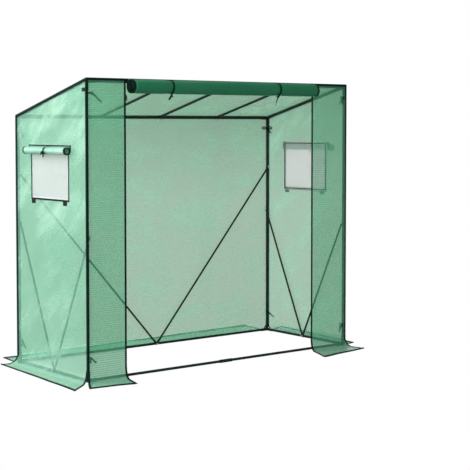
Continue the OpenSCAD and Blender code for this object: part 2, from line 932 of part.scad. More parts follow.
module ground_corner_connectors() {
    color("black")
        for (side = [-1, 1], end = [-1, 1])
            corner_connector([side * post_x, end * post_y, ground_z], [-side, 0, 0], [[0, 0, 1], [0, -end, 0]]);
}

module bolts() {
    color("silver")
        for (b = all_bolts) bolt(b);
}

module wing_nuts() {
    color("silver")
        for (b = all_bolts) wing_nut(b);
}

function bolts_at(list, x, y) = [for (b = list) if (abs(b[0][0] - x) < 1 && abs(b[0][1] - y) < 1) b];
function bolts_between(list, y, x0, x1) =
    [for (b = list) if (abs(b[0][1] - y) < 1 && b[0][0] > x0 && b[0][0] < x1) b];

post_bolts = concat([rear_brace_bolts[1], rear_brace_bolts[2]], side_brace_bolts);

post_lower(front_left);  // front_left_post_lower
post_upper(front_left, front_z, bolts_at(post_bolts, -post_x, -post_y));  // front_left_post_upper
post_lower(front_right);  // front_right_post_lower
post_upper(front_right, front_z, bolts_at(post_bolts, post_x, -post_y));  // front_right_post_upper
post_lower(rear_left);  // rear_left_post_lower
post_upper(rear_left, rear_z, bolts_at(post_bolts, -post_x, post_y));  // rear_left_post_upper
post_lower(rear_right);  // rear_right_post_lower
post_upper(rear_right, rear_z, bolts_at(post_bolts, post_x, post_y));  // rear_right_post_upper
rail_left(-post_y, front_z, top_joint_x, bolts_between(rafter_bolts, -post_y, -post_x, top_joint_x));  // front_top_rail_left
rail_right(-post_y, front_z, top_joint_x, bolts_between(rafter_bolts, -post_y, top_joint_x, post_x));  // front_top_rail_right
rail_left(post_y, rear_z, top_joint_x, bolts_between(rafter_bolts, post_y, -post_x, top_joint_x));  // rear_top_rail_left
rail_right(post_y, rear_z, top_joint_x, bolts_between(rafter_bolts, post_y, top_joint_x, post_x));  // rear_top_rail_right
rail_left(-post_y, ground_z, 0);  // front_ground_rail_left
rail_right(-post_y, ground_z, 0, swaged = false);  // front_ground_rail_right
rail_left(post_y, ground_z, rear_joint_x);  // rear_ground_rail_left
rail_right(post_y, ground_z, rear_joint_x, [rear_brace_bolts[0]]);  // rear_ground_rail_right
side_ground_rail(-1);  // left_ground_rail
side_ground_rail(1);  // right_ground_rail
end_rafter(-1);  // left_rafter
inner_rafter(rafter_1_x);  // inner_rafter_1
inner_rafter(rafter_2_x);  // inner_rafter_2
inner_rafter(rafter_3_x);  // inner_rafter_3
end_rafter(1);  // right_rafter
rear_brace(-1, false);  // rear_left_brace_lower
rear_brace(-1, true);  // rear_left_brace_upper
rear_brace(1, false);  // rear_right_brace_lower
rear_brace(1, true);  // rear_right_brace_upper
left_brace(-post_y, side_front_z);  // left_front_brace
left_brace(post_y, side_rear_z);  // left_rear_brace
mirror([1, 0, 0]) left_brace(-post_y, side_front_z);  // right_front_brace
mirror([1, 0, 0]) left_brace(post_y, side_rear_z);  // right_rear_brace
top_corner_connectors();
ground_corner_connectors();
ground_rail_sleeve();
bolts();
wing_nuts();
roof_panel();
rear_panel();
side_panel(left_wall, -1);  // left_panel
side_panel(right_wall, 1);  // right_panel
front_panel(front_left_wall);  // front_left_panel
front_panel(front_right_wall);  // front_right_panel
window_net(-1);  // left_window_net
window_net(1);  // right_window_net
edge_binding();
hook_pads();
zip(-1);  // left_zip
zip(1);  // right_zip
zip_slider(-1);  // left_zip_slider
zip_slider(1);  // right_zip_slider
door_roll();
door_strip();
door_ties();
flap_roll(-1);  // left_flap_roll
flap_strip(-1);  // left_flap_strip
flap_tie(-1);  // left_flap_tie
flap_roll(1);  // right_flap_roll
flap_strip(1);  // right_flap_strip
flap_tie(1);  // right_flap_tie
post_ties();
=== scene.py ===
"""A lean-to greenhouse: tube frame, translucent reinforced cover with skirts, rolled-up door and flaps."""

import json
import math

import bmesh
import bpy
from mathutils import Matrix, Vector, noise


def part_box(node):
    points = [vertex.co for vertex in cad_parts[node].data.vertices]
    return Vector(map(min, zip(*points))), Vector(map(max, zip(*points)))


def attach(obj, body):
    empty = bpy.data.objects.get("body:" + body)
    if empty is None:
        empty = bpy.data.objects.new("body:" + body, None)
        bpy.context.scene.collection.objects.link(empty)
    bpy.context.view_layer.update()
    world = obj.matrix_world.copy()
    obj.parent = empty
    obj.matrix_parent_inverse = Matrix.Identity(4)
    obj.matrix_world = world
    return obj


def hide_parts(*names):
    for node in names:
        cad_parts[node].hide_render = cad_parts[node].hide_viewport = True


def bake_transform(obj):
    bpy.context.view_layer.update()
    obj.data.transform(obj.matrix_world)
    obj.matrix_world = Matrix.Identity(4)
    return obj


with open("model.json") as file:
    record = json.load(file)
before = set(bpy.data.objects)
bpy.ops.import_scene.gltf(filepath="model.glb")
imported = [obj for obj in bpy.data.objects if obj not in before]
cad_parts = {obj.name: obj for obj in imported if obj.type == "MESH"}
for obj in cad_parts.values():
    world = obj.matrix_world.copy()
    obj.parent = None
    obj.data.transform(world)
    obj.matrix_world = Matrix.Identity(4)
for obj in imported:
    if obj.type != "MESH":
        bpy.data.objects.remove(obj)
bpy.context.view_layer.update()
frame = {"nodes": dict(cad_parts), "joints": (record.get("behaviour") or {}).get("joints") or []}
nodes = frame["nodes"]
sides = ((-1, "left"), (1, "right"))
across_x = Vector((1, 0, 0))
across_y = Vector((0, 1, 0))
upright = Vector((0, 0, 1))
plumb = Vector((0, 0, -1))

# Sizes read from the frame, in metres
roof_low, roof_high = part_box("roof_panel")
sheet_t = 0.001
half_w = roof_high.x
half_d = roof_high.y
front_h = roof_high.z
roof_drop = front_h - roof_low.z - sheet_t
slope = math.atan(roof_drop / (2 * half_d))
left_zip_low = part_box("left_zip")[0]
right_zip_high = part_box("right_zip")[1]
foot_top = left_zip_low.z
foot_r = foot_top - sheet_t
skirt_w = -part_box("left_panel")[0].x - half_w
net_low, net_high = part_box("left_window_net")

# Sizes that the frame doesn't tell
cloth_t = 0.0005
binding_w = 0.012
binding_t = 0.0022
roll_tape_t = 0.0013
outer_tape_t = 0.0064
outer_tape_lift = 0.0012
end_tape_lift = 0.0002
net_border = 0.014
left_skirt_rear_w = 0.105
right_skirt_front_w = 0.105
right_skirt_cut = 0.03
level_rows_h = 1.36
front_left_turn = 0.025
front_left_slant = 0.065
front_right_slant = 0.115
roll_pitch = 0.00215
ribbon_w = 0.011
ribbon_t = 0.0009
door_tie_x = (-0.425, 0.377)

window_half = -net_low.y - net_border
window_low = net_low.z + net_border
window_high = net_high.z - net_border


def ease(x):
    """0 below 0, 1 above 1 and smooth between."""
    x = min(max(x, 0.0), 1.0)
    return x * x * (3 - 2 * x)


def steps(start, stop, size, fixed=()):
    """Numbers from start to stop, about size apart, that pass through the fixed ones."""
    marks = [start, *sorted(f for f in fixed if start < f < stop), stop]
    found = [start]
    for low, high in zip(marks, marks[1:]):
        count = max(1, round((high - low) / size))
        found += [low + (high - low) * (i + 1) / count for i in range(count)]
    return found


def soft_noise(x, y, seed, scale):
    """Smooth noise from about -1 to 1 over features as large as scale."""
    return noise.noise(Vector((x / scale, y / scale, seed * 7.31)))


def roof_height(y):
    """Height of the roof's upper face at a distance behind the middle."""
    return front_h - (y + half_d) * math.tan(slope)


# Finishes


class Value:
    """A socket that varies over a surface, with the operators of plain arithmetic."""

    def __init__(self, owner, socket):
        self.owner = owner
        self.socket = socket

    def out(self, name):
        """Another output of the same node."""
        return Value(self.owner, self.socket.node.outputs[name])

    def maths(self, operation, *others):
        """The value after an operation with other values or numbers."""
        inputs = dict(enumerate([self, *others]))
        return self.owner.node("ShaderNodeMath", {"operation": operation}, inputs)

    def __add__(self, other):
        return self.maths("ADD", other)

    def __radd__(self, other):
        return self.maths("ADD", other)

    def __sub__(self, other):
        return self.maths("SUBTRACT", other)

    def __rsub__(self, other):
        return (self * -1) + other

    def __mul__(self, other):
        return self.maths("MULTIPLY", other)

    def __rmul__(self, other):
        return self.maths("MULTIPLY", other)

    def __truediv__(self, other):
        return self.maths("DIVIDE", other)

    def near(self, width):
        """1 where the value is a whole number, down to 0 at width from it."""
        away = (self - self.maths("ROUND")).maths("ABSOLUTE")
        return (1 - away / width).maths("MAXIMUM", 0.0)

    def clamped(self):
        """The value kept between 0 and 1."""
        return self.maths("MAXIMUM", 0.0).maths("MINIMUM", 1.0)


class Nodes:
    """The nodes of a finish or of the backdrop."""

    def __init__(self, tree):
        self.tree = tree
        tree.nodes.clear()

    def node(self, kind, settings=None, inputs=None, output=0):
        """Adds a node, sets it up, fills its sockets with values or links and gives one of its outputs."""
        made = self.tree.nodes.new(kind)
        for name, value in (settings or {}).items():
            setattr(made, name, value)
        for name, value in (inputs or {}).items():
            if isinstance(value, Value):
                self.tree.links.new(value.socket, made.inputs[name])
            else:
                made.inputs[name].default_value = value
        return Value(self, made.outputs[output]) if made.outputs else None

    def mix(self, share, first, second):
        """Mixes two colours."""
        made = self.tree.nodes.new("ShaderNodeMix")
        made.data_type = "RGBA"
        given = {("Factor", "VALUE"): share, ("A", "RGBA"): first, ("B", "RGBA"): second}
        for socket in made.inputs:
            value = given.get((socket.name, socket.type))
            if isinstance(value, Value):
                self.tree.links.new(value.socket, socket)
            elif value is not None:
                socket.default_value = (*value, 1.0) if isinstance(value, tuple) else value
        return Value(self, next(s for s in made.outputs if s.type == "RGBA"))

    def mix_shaders(self, share, first, second):
        """Mixes two shaders."""
        return self.node("ShaderNodeMixShader", {}, {0: share, 1: first, 2: second})


class Finish(Nodes):
    """A material made of nodes."""

    def __init__(self, name):
        self.material = bpy.data.materials.new(name)
        self.material.use_nodes = True
        super().__init__(self.material.node_tree)

    def cloth(self):
        """Place on the flat cloth, in metres: along it and up it."""
        flat = self.node("ShaderNodeUVMap", {"uv_map": "cloth"})
        split = self.node("ShaderNodeSeparateXYZ", {}, {0: flat})
        return split, split.out("Y")

    def place(self):
        """Place in the object, in metres."""
        return self.node("ShaderNodeTexCoord", {}, {}, "Object")

    def noise(self, place, scale, detail=2.0, roughness=0.5):
        """Cloudy noise from 0 to 1, with scale features to the metre."""
        inputs = {"Vector": place, "Scale": scale, "Detail": detail, "Roughness": roughness}
        return self.node("ShaderNodeTexNoise", {}, inputs, "Fac")

    def stretched(self, place, factors):
        """The place with each of its three directions multiplied."""
        return self.node("ShaderNodeMapping", {}, {"Vector": place, "Scale": factors})

    def bump(self, height, depth):
        """Bump whose full height is a depth in metres."""
        return self.node("ShaderNodeBump", {}, {"Height": height, "Distance": depth, "Strength": 1.0})

    def principled(self, inputs):
        """The shader of a solid surface."""
        return self.node("ShaderNodeBsdfPrincipled", {}, inputs)

    def surface(self, shader):
        """The finished material."""
        self.node("ShaderNodeOutputMaterial", {}, {"Surface": shader})
        return self.material


def shade(colour, factor, lift=0.0):
    """A lighter or darker colour."""
    return tuple(min(1.0, c * factor + lift) for c in colour)


def powder_coat(name, colour, dullness):
    """Stove paint on steel, with a fine orange peel and dull patches."""
    finish = Finish(name)
    place = finish.place()
    patches = finish.noise(place, 14.0, 3.0)
    peel = finish.noise(place, 700.0, 1.0)
    return finish.surface(finish.principled({
        "Base Color": finish.mix(patches, colour, shade(colour, 1.9, 0.004)),
        "Roughness": patches * 0.16 + dullness,
        "Specular IOR Level": 0.16,
        "Normal": finish.bump(peel, 0.00006),
    }))


def zinc(name):
    """Bright zinc plating with faint spangle."""
    finish = Finish(name)
    spangle = finish.noise(finish.place(), 320.0, 3.0)
    return finish.surface(finish.principled({
        "Base Color": finish.mix(spangle, (0.42, 0.43, 0.43), (0.72, 0.72, 0.70)),
        "Metallic": 1.0,
        "Roughness": spangle * 0.22 + 0.24,
        "Normal": finish.bump(spangle, 0.00005),
    }))


def reinforced_sheet(name, body, glow, tint, clear, haze_and_highlight, gleam, weave=0.5):
    """Film laminated over a mesh of threads. It shines, glows with light from behind and shows what's behind.
    body, glow and tint are its colours in light from the front, in light from behind and for what is seen
    through it. clear, gleam and weave say how clear, glossy and thready it is, and the setting between clear
    and gleam says how milky its colour is and how strong its painted whitish highlights are."""
    finish = Finish(name)
    along, up = finish.cloth()
    place = finish.place()
    thread_step = 0.012
    fine_step = thread_step / 4
    thread_dark = 0.35
    # White of the painted highlights
    painted_highlight_white = (0.82, 0.95, 0.88)
    rising = (along / thread_step).near(0.14)
    level = (up / thread_step).near(0.2)
    threads = (rising * 0.45 + level) * weave
    fine = (along / fine_step).near(0.4) + (up / fine_step).near(0.4)
    clouds = finish.noise(place, 3.2, 3.0)
    streaks = finish.noise(finish.stretched(place, (9.0, 9.0, 1.6)), 1.0, 3.0, 0.6)
    uneven = clouds * 0.5 + streaks * 0.5
    leaning = finish.node("ShaderNodeMapping", {}, {"Vector": place, "Rotation": (0.7, 0.0, 0.0)})
    # Painted highlights: soft leaning smears of whitish sheen mixed into the colour, where the film is also
    # less clear
    highlight_smears = finish.noise(finish.stretched(leaning, (3.0, 2.2, 6.5)), 1.0, 4.0, 0.62)
    creases = finish.noise(place, 34.0, 4.0, 0.55)
    painted_highlight = ((highlight_smears - 0.46) * 3.4).clamped()
    colour = finish.mix(uneven, shade(body, 0.8), shade(body, 1.1 - 0.3 * haze_and_highlight, 0.3 * haze_and_highlight))
    # The painted whitish highlight mixed into the colour
    colour = finish.mix(painted_highlight * haze_and_highlight, colour, painted_highlight_white)
    colour = finish.mix(threads * 0.9, colour, shade(body, thread_dark))
    lit = finish.mix(uneven, shade(glow, 0.9), shade(glow, 1.07))
    lit = finish.mix(threads * 0.9, lit, shade(glow, thread_dark))
    height = threads * 0.3 + fine * 0.05 + creases * 0.5 + streaks * 1.6 + highlight_smears * 2.0
    normal = finish.bump(height, 0.0012)
    film = finish.principled({
        "Base Color": colour,
        "Roughness": 0.2 + creases * 0.18 + threads * 0.06,
        "Specular IOR Level": gleam,
        "Normal": normal,
    })
    shine_through = finish.node("ShaderNodeBsdfTranslucent", {}, {"Color": lit, "Normal": normal})
    gaps = finish.node("ShaderNodeBsdfTransparent", {}, {"Color": (*tint, 1.0)})
    see = clear - threads * (clear * 0.34) - painted_highlight * (haze_and_highlight * clear * 0.5)
    return finish.surface(finish.mix_shaders(see, finish.mix_shaders(0.5, film, shine_through), gaps))


def woven_tape(name, colour, rib, ribs_along=True, dullness=0.62):
    """Tape woven with ribs across it or along it."""
    finish = Finish(name)
    along, across = finish.cloth()
    ribs = ((along if ribs_along else across) / rib).near(0.5)
    fuzz = finish.noise(finish.place(), 900.0, 2.0)
    return finish.surface(finish.principled({
        "Base Color": finish.mix(ribs * 0.45 + fuzz * 0.35, colour, shade(colour, 2.2)),
        "Roughness": dullness + fuzz * 0.2,
        "Specular IOR Level": 0.08,
        "Normal": finish.bump(ribs * 0.7 + fuzz * 0.5, 0.0003),
    }))


def net_cord(name):
    """Pale knitted net: dull threads that glow a little with light from behind."""
    finish = Finish(name)
    fuzz = finish.noise(finish.place(), 1200.0, 2.0)
    body = finish.principled({
        "Base Color": finish.mix(fuzz, (0.54, 0.59, 0.58), (0.66, 0.70, 0.69)),
        "Roughness": 0.55 + fuzz * 0.2,
        "Normal": finish.bump(fuzz, 0.0002),
    })
    glow = finish.node("ShaderNodeBsdfTranslucent", {}, {"Color": (0.98, 0.98, 0.98, 1.0)})
    return finish.surface(finish.mix_shaders(0.62, body, glow))


def hook_fabric(name):
    """Black fastening fabric, a dense field of small hooks."""
    finish = Finish(name)
    hooks = finish.node("ShaderNodeTexVoronoi", {}, {"Vector": finish.place(), "Scale": 620.0}, "Distance")
    return finish.surface(finish.principled({
        "Base Color": finish.mix(hooks, (0.006, 0.010, 0.008), (0.001, 0.003, 0.002)),
        "Roughness": 0.7 + hooks * 0.2,
        "Specular IOR Level": 0.12,
        "Normal": finish.bump(1 - hooks, 0.0008),
    }))


tube_paint = powder_coat("tube_paint", (0.0012, 0.008, 0.005), 0.34)
connector_paint = powder_coat("connector_paint", (0.0012, 0.007, 0.004), 0.4)
zinc_plate = zinc("zinc_plate")
cover_cloth = reinforced_sheet(
    "cover_cloth", body=(0.29, 0.77, 0.58), glow=(0.32, 0.81, 0.54), tint=(0.90, 0.915, 0.89),
    clear=0.78, haze_and_highlight=0.7, gleam=0.3, weave=0.3)
# The front panels are the same cloth as the cover, given darker colours as painted shade
shaded_panel_cloth = reinforced_sheet(
    "shaded_panel_cloth", body=(0.15, 0.60, 0.38), glow=(0.20, 0.72, 0.46), tint=(0.89, 0.91, 0.885),
    clear=0.80, haze_and_highlight=0.2, gleam=0.4, weave=0.7)
# The rolled flaps are the same cloth as the cover, made lighter and whiter: painted light and strong painted
# highlights
lit_flap_cloth = reinforced_sheet(
    "lit_flap_cloth", body=(0.50, 0.82, 0.72), glow=(0.38, 0.82, 0.64), tint=(0.84, 0.93, 0.90),
    clear=0.4, haze_and_highlight=1.0, gleam=0.7)
# The rolled door and its strip are the same cloth as the cover, made much darker as painted shade of the
# rolled layers
shaded_door_cloth = reinforced_sheet(
    "shaded_door_cloth", body=(0.022, 0.34, 0.17), glow=(0.05, 0.50, 0.28), tint=(0.30, 0.78, 0.52),
    clear=0.3, haze_and_highlight=0.03, gleam=0.7)
binding_tape = woven_tape("binding_tape", (0.0004, 0.0075, 0.0042), 0.0016)
zip_tape = woven_tape("zip_tape", (0.0004, 0.0070, 0.0040), 0.0011)
ribbon_cloth = woven_tape("ribbon_cloth", (0.0005, 0.011, 0.006), 0.0009, False, 0.6)
tooth_plastic = powder_coat("tooth_plastic", (0.002, 0.010, 0.006), 0.3)
slider_paint = powder_coat("slider_paint", (0.002, 0.010, 0.006), 0.26)
net_thread = net_cord("net_thread")
hook_cloth = hook_fabric("hook_cloth")


# Making pieces


def add_object(name, data):
    """Puts an object in the scene."""
    made = bpy.data.objects.new(name, data)
    bpy.context.scene.collection.objects.link(made)
    return made


def add_piece(name, mesh, finish, body="root", slot=None, stands_for=()):
    """Puts a mesh in the scene as a piece that rides on a body."""
    piece = add_object(name, mesh)
    mesh.materials.append(finish)
    for face in mesh.polygons:
        face.use_smooth = True
    if body:
        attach(piece, body)
    if stands_for:
        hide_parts(*stands_for)
    return piece


def thicken(piece, thickness, offset=0.0):
    """Gives a sheet its thickness, closed at the edges."""
    wall = piece.modifiers.new("thickness", "SOLIDIFY")
    wall.thickness = thickness
    wall.offset = offset
    wall.use_rim = True
    return piece


def finished_mesh(work, name):
    """The mesh of a piece that has been worked on."""
    mesh = bpy.data.meshes.new(name)
    work.to_mesh(mesh)
    work.free()
    return mesh


def soften(work, edges, width, segments):
    """Rounds some edges."""
    bmesh.ops.bevel(
        work, geom=edges, offset=width, segments=segments, profile=0.5, affect="EDGES", material=-1)


def shaped_grid(work, columns, rows, place):
    """Adds a grid of columns by rows. place gives a crossing its point and its place on the flat cloth."""
    across, up = len(columns) - 1, len(rows) - 1
    made = bmesh.ops.create_grid(work, x_segments=across, y_segments=up, size=1)["verts"]
    flat = {}
    for corner in made:
        i = round((corner.co.x + 1) / 2 * across)
        j = round((corner.co.y + 1) / 2 * up)
        corner.co, flat[corner] = place(columns[i], rows[j])
    return flat


def lay_flat(work, flat_place):
    """Notes each corner's place on the flat cloth."""
    layer = work.loops.layers.uv.new("cloth")
    for face in work.faces:
        for loop in face.loops:
            loop[layer].uv = flat_place(loop.vert)


def cloth_mesh(name, columns, rows, place, keep=None):
    """A mesh of cloth from a shaped grid. keep says of a face's middle whether the face stays."""
    work = bmesh.new()
    flat = shaped_grid(work, columns, rows, place)
    if keep:
        dropped = [face for face in work.faces if not keep(face.calc_center_median())]
        bmesh.ops.delete(work, geom=dropped, context="FACES")
    lay_flat(work, lambda corner: flat[corner])
    return finished_mesh(work, name)


def cloth_piece(name, columns, rows, place, finish, thickness=cloth_t, keep=None, **options):
    """A piece of cloth with its thickness."""
    mesh = cloth_mesh(name, columns, rows, place, keep)
    return thicken(add_piece(name, mesh, finish, **options), thickness)


def tape_piece(name, columns, rows, place, thickness=binding_t, body="root"):
    """A piece of edging tape."""
    return cloth_piece(name, columns, rows, place, binding_tape, thickness, body=body, slot="binding")


def tape_columns(low):
    """The edges and the middle of a tape, from its lower edge."""
    return [low, low + binding_w / 2, low + binding_w]


def lengths_along(line):
    """How far along a line each of its points is."""
    found = [0.0]
    for a, b in zip(line, line[1:]):
        found.append(found[-1] + (b - a).length)
    return found


# The cover's walls

# Waves in the cloth, calmer towards its hems and its windows
hem_calm_w = 0.07
window_calm_w = 0.09
wave_h = 0.0042
wave_w = 0.42
ripple_h = 0.0016
ripple_w = 0.12
skirt_wave_h = 0.0024
skirt_wave_w = 0.16


class Fold:
    """A crease in a wall from one point to another, given along and up the wall."""

    def __init__(self, start, stop, width, height):
        self.start = Vector(start)
        self.way = Vector(stop) - self.start
        self.width = width
        self.height = height

    def at(self, s, z):
        """How far it lifts the wall at a point."""
        point = Vector((s, z)) - self.start
        share = min(max(point.dot(self.way) / self.way.length_squared, 0.0), 1.0)
        away = (point - self.way * share).length
        ridge = math.exp(-((away / self.width) ** 2))
        return self.height * ridge * math.sin(math.pi * (0.12 + 0.8 * share))


class Wall:
    """A wall of the cover with its bent foot and its skirt, which lies on the ground. along is its direction
    from above, reach its distance from the middle, and ends are where it starts and stops. The skirt's two
    outer corners are given along the wall and out from it. top gives the wall's height at a place along it,
    and the flat zone is the part round a window."""

    def __init__(self, name, along, reach, ends, corners, top, seed, folds=(), flat_zone=None):
        self.name = name
        self.along = Vector((*along, 0))
        self.out = self.along.cross(upright)
        self.reach = reach
        self.ends = ends
        self.corners = corners
        self.top = top
        self.seed = seed
        self.folds = [Fold(*fold) for fold in folds]
        self.flat_zone = flat_zone
        self.skirt_l = skirt_w - foot_r
        self.bend_r = foot_r + sheet_t / 2
        self.foot_l = self.skirt_l + self.bend_r * math.pi / 2

    def foot_at(self, share, out_share):
        """Place along the wall and distance out from it. out_share is 0 at the bend and 1 at the edge."""
        found = []
        for end, (corner_s, corner_out) in zip(self.ends, self.corners):
            out = foot_r + (corner_out - foot_r) * out_share
            found.append((end + (corner_s - end) * out / corner_out, out))
        (low_s, low_out), (high_s, high_out) = found
        return low_s + (high_s - low_s) * share, low_out + (high_out - low_out) * share

    def bend_at(self, share, out):
        """Place along the wall in the bend, where every row keeps one distance out."""
        low, high = (
            end + (corner_s - end) * max(out, 0.0) / corner_out
            for end, (corner_s, corner_out) in zip(self.ends, self.corners))
        return low + (high - low) * share

    def billow(self, s, z):
        """How far the wall stands out of its plane."""
        hem = min(s - self.ends[0], self.ends[1] - s, self.top(s) - z, z - foot_top + 0.03)
        calm = ease(hem / hem_calm_w)
        if self.flat_zone:
            low_s, low_z, high_s, high_z = self.flat_zone
            away = max(low_s - s, s - high_s, low_z - z, z - high_z)
            calm *= ease(away / window_calm_w)
        wide = wave_h * soft_noise(s, z, self.seed, wave_w)
        close = ripple_h * soft_noise(s * 1.7, z, self.seed + 3, ripple_w)
        return calm * (wide + close + sum(fold.at(s, z) for fold in self.folds))

    def point(self, share, up, lift=0.0, inward=0.0):
        """A point of the sheet and its place on the flat cloth: share goes along it, and up is the length
        from the skirt's edge. lift moves it off the sheet, and inward along the wall."""
        stand, face_out, face_up = 0.0, 0.0, 1.0
        if up <= self.skirt_l:
            s, out = self.foot_at(share, 1 - up / self.skirt_l)
            loose = ease((out - foot_r) / (skirt_w - foot_r))
            wave = 1.1 + soft_noise(s, out, self.seed + 5, skirt_wave_w)
            z = sheet_t / 2 + loose * skirt_wave_h * wave
        elif up < self.foot_l:
            turn = (up - self.skirt_l) / self.bend_r
            face_out, face_up = math.sin(turn), math.cos(turn)
            out, z = foot_r - self.bend_r * face_out, foot_top - self.bend_r * face_up
            s = self.bend_at(share, out)
        else:
            face_out, face_up = 1.0, 0.0
            out = -sheet_t / 2
            s = self.bend_at(share, 0.0)
            z = self.fitted_height(s, foot_top + up - self.foot_l)
            stand = self.billow(s, z)
        s += inward
        spot = self.along * s + self.out * (self.reach + out + (stand + lift) * face_out)
        spot.z = z + lift * face_up
        return spot, (s, up if up < self.foot_l else self.foot_l + z - foot_top)

    def fitted_height(self, s, z):
        """A height of the tallest wall brought under this wall's top, with the rows below left level."""
        ceiling = self.top(s)
        level = min(level_rows_h, ceiling - 0.08)
        if z <= level:
            return z
        return level + (z - level) * (ceiling - level) / (front_h - sheet_t - level)

    def rows(self, size, fixed=()):
        """Lengths up from the skirt's outer edge."""
        bend = steps(self.skirt_l, self.foot_l, 0.008)
        marks = [self.skirt_l, *bend, *(self.foot_l + z - foot_top for z in fixed)]
        return steps(0.0, self.foot_l + front_h - sheet_t - foot_top, size, marks)

    def sheet(self, finish, slot, size=0.015, fixed=(), levels=(), keep=None):
        """The sheet itself."""
        width = self.ends[1] - self.ends[0]
        shares = [(s - self.ends[0]) / width for s in steps(*self.ends, size, fixed)]
        piece = cloth_piece(
            self.name + "_sheet", shares, self.rows(size, levels), self.point, finish,
            keep=keep, slot=slot, stands_for=[self.name + "_panel"])
        height = sum(map(self.top, self.ends)) / 2 - foot_top + self.bend_r * math.pi / 2
        (low_s, low_out), (high_s, high_out) = self.corners
        skirt_area = ((low_out + high_out) / 2 - foot_r) * (width + high_s - low_s) / 2
        hole_area = 2 * window_half * (window_high - window_low) if self.flat_zone else 0.0
        max(low_out, high_out) - foot_r + height
        width * height + skirt_area - hole_area

    def outer_edging(self):
        """Tape folded over the outer edge of the skirt."""
        tape_piece(
            self.name + "_skirt_edging", steps(0.0, 1.0, 0.012), tape_columns(0.0),
            lambda share, up: self.point(share, up, outer_tape_lift), outer_tape_t)

    def end_edging(self, which, label):
        """Tape folded over one end of the skirt and on round the foot, up to the corner."""
        corner_s, corner_out = self.corners[which]
        lean = math.hypot(corner_s - self.ends[which], corner_out) / corner_out
        side = 1 if which == 0 else -1
        beside_zip = (self.name, label) in (("front_left", "high"), ("front_right", "low"))
        columns = [-inward if beside_zip else inward for inward in tape_columns(0.0)]
        if (which == 1) != beside_zip:
            columns.reverse()

        def place(inward, up):
            return self.point(which, up, end_tape_lift, side * inward * lean)[0], (up, inward)

        rows = steps(0.0, self.foot_l + 0.004, 0.008)
        tape_piece(f"{self.name}_skirt_edging_{label}", columns, rows, place)


def wall_top(y):
    """Top of the sheet of a wall at a distance behind the middle, under the roof."""
    return roof_height(y) - sheet_t / math.cos(slope)


side_end = half_d - sheet_t
left_low, left_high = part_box("left_panel")
right_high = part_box("right_panel")[1]
rear_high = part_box("rear_panel")[1]
front_left_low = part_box("front_left_panel")[0]
front_right_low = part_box("front_right_panel")[0]
window_zone = (-window_half - 0.05, window_low - 0.05, window_half + 0.05, window_high + 0.03)

walls = (
    Wall(
        "left", (0, -1), half_w, (-side_end, side_end),
        ((-left_high.y, left_skirt_rear_w), (-left_low.y, skirt_w)),
        lambda s: wall_top(-s), 1, flat_zone=window_zone, folds=[
            ((0.38, 1.64), (-0.05, 1.36), 0.028, 0.004),
            ((0.36, 1.60), (0.18, 1.38), 0.02, 0.003),
            ((-0.37, 1.45), (-0.1, 0.8), 0.035, 0.003),
            ((0.34, 1.5), (0.24, 0.5), 0.04, -0.003),
            ((-0.3, 0.1), (0.1, 0.6), 0.03, 0.003),
            ((0.3, 0.1), (0.0, 0.7), 0.035, 0.0025),
        ]),
    Wall(
        "right", (0, 1), half_w, (-side_end, side_end),
        ((-half_d + right_skirt_cut, right_skirt_front_w), (right_high.y, skirt_w)),
        wall_top, 2, flat_zone=window_zone, folds=[
            ((0.37, 1.42), (0.2, 0.7), 0.035, 0.003),
            ((-0.36, 1.6), (-0.22, 0.6), 0.03, 0.0035),
            ((0.3, 0.12), (-0.1, 0.55), 0.035, -0.003),
        ]),
    Wall(
        "rear", (-1, 0), half_d, (-half_w, half_w), ((-half_w, rear_high.y - half_d), (half_w, skirt_w)),
        lambda s: wall_top(half_d), 3, folds=[
            ((-0.94, 1.45), (-0.4, 0.9), 0.045, 0.004),
            ((0.94, 1.45), (0.5, 1.0), 0.045, 0.004),
            ((-0.9, 0.1), (-0.5, 0.5), 0.04, 0.003),
            ((0.9, 0.1), (0.55, 0.45), 0.04, 0.003),
        ]),
    Wall(
        "front_left", (1, 0), half_d, (-half_w, left_zip_low.x),
        ((front_left_low.x, skirt_w - front_left_turn),
         (left_zip_low.x - front_left_slant, skirt_w + front_left_turn)),
        lambda s: wall_top(-half_d), 4, folds=[
            ((-0.96, 1.64), (-0.76, 1.58), 0.014, 0.0025),
            ((-0.95, 0.1), (-0.78, 0.4), 0.02, 0.002),
        ]),
    Wall(
        "front_right", (1, 0), half_d, (right_zip_high.x, half_w),
        ((right_zip_high.x - front_right_slant, -front_right_low.y - half_d), (half_w, skirt_w)),
        lambda s: wall_top(-half_d), 5, folds=[
            ((0.97, 1.665), (0.74, 1.60), 0.012, 0.0045),
            ((0.97, 1.63), (0.76, 1.565), 0.012, 0.004),
            ((0.965, 1.60), (0.9, 1.52), 0.010, 0.003),
            ((0.95, 0.09), (0.78, 0.35), 0.02, 0.003),
        ]),
)


def outside_window(centre):
    """True for a spot of a side wall that isn't in its window."""
    inside_y = abs(centre.y) < window_half
    return not (inside_y and window_low < centre.z < window_high)


for wall in walls:
    if wall.flat_zone:
        wall.sheet(cover_cloth, "cover_sheet", fixed=(-window_half, window_half),
                   levels=(window_low, window_high), keep=outside_window)
    elif wall.name == "rear":
        wall.sheet(cover_cloth, "cover_sheet", size=0.018)
    else:
        wall.sheet(shaded_panel_cloth, "door_sheet", size=0.012)

for wall in walls:
    wall.outer_edging()
    wall.end_edging(0, "low")
    wall.end_edging(1, "high")


# The roof

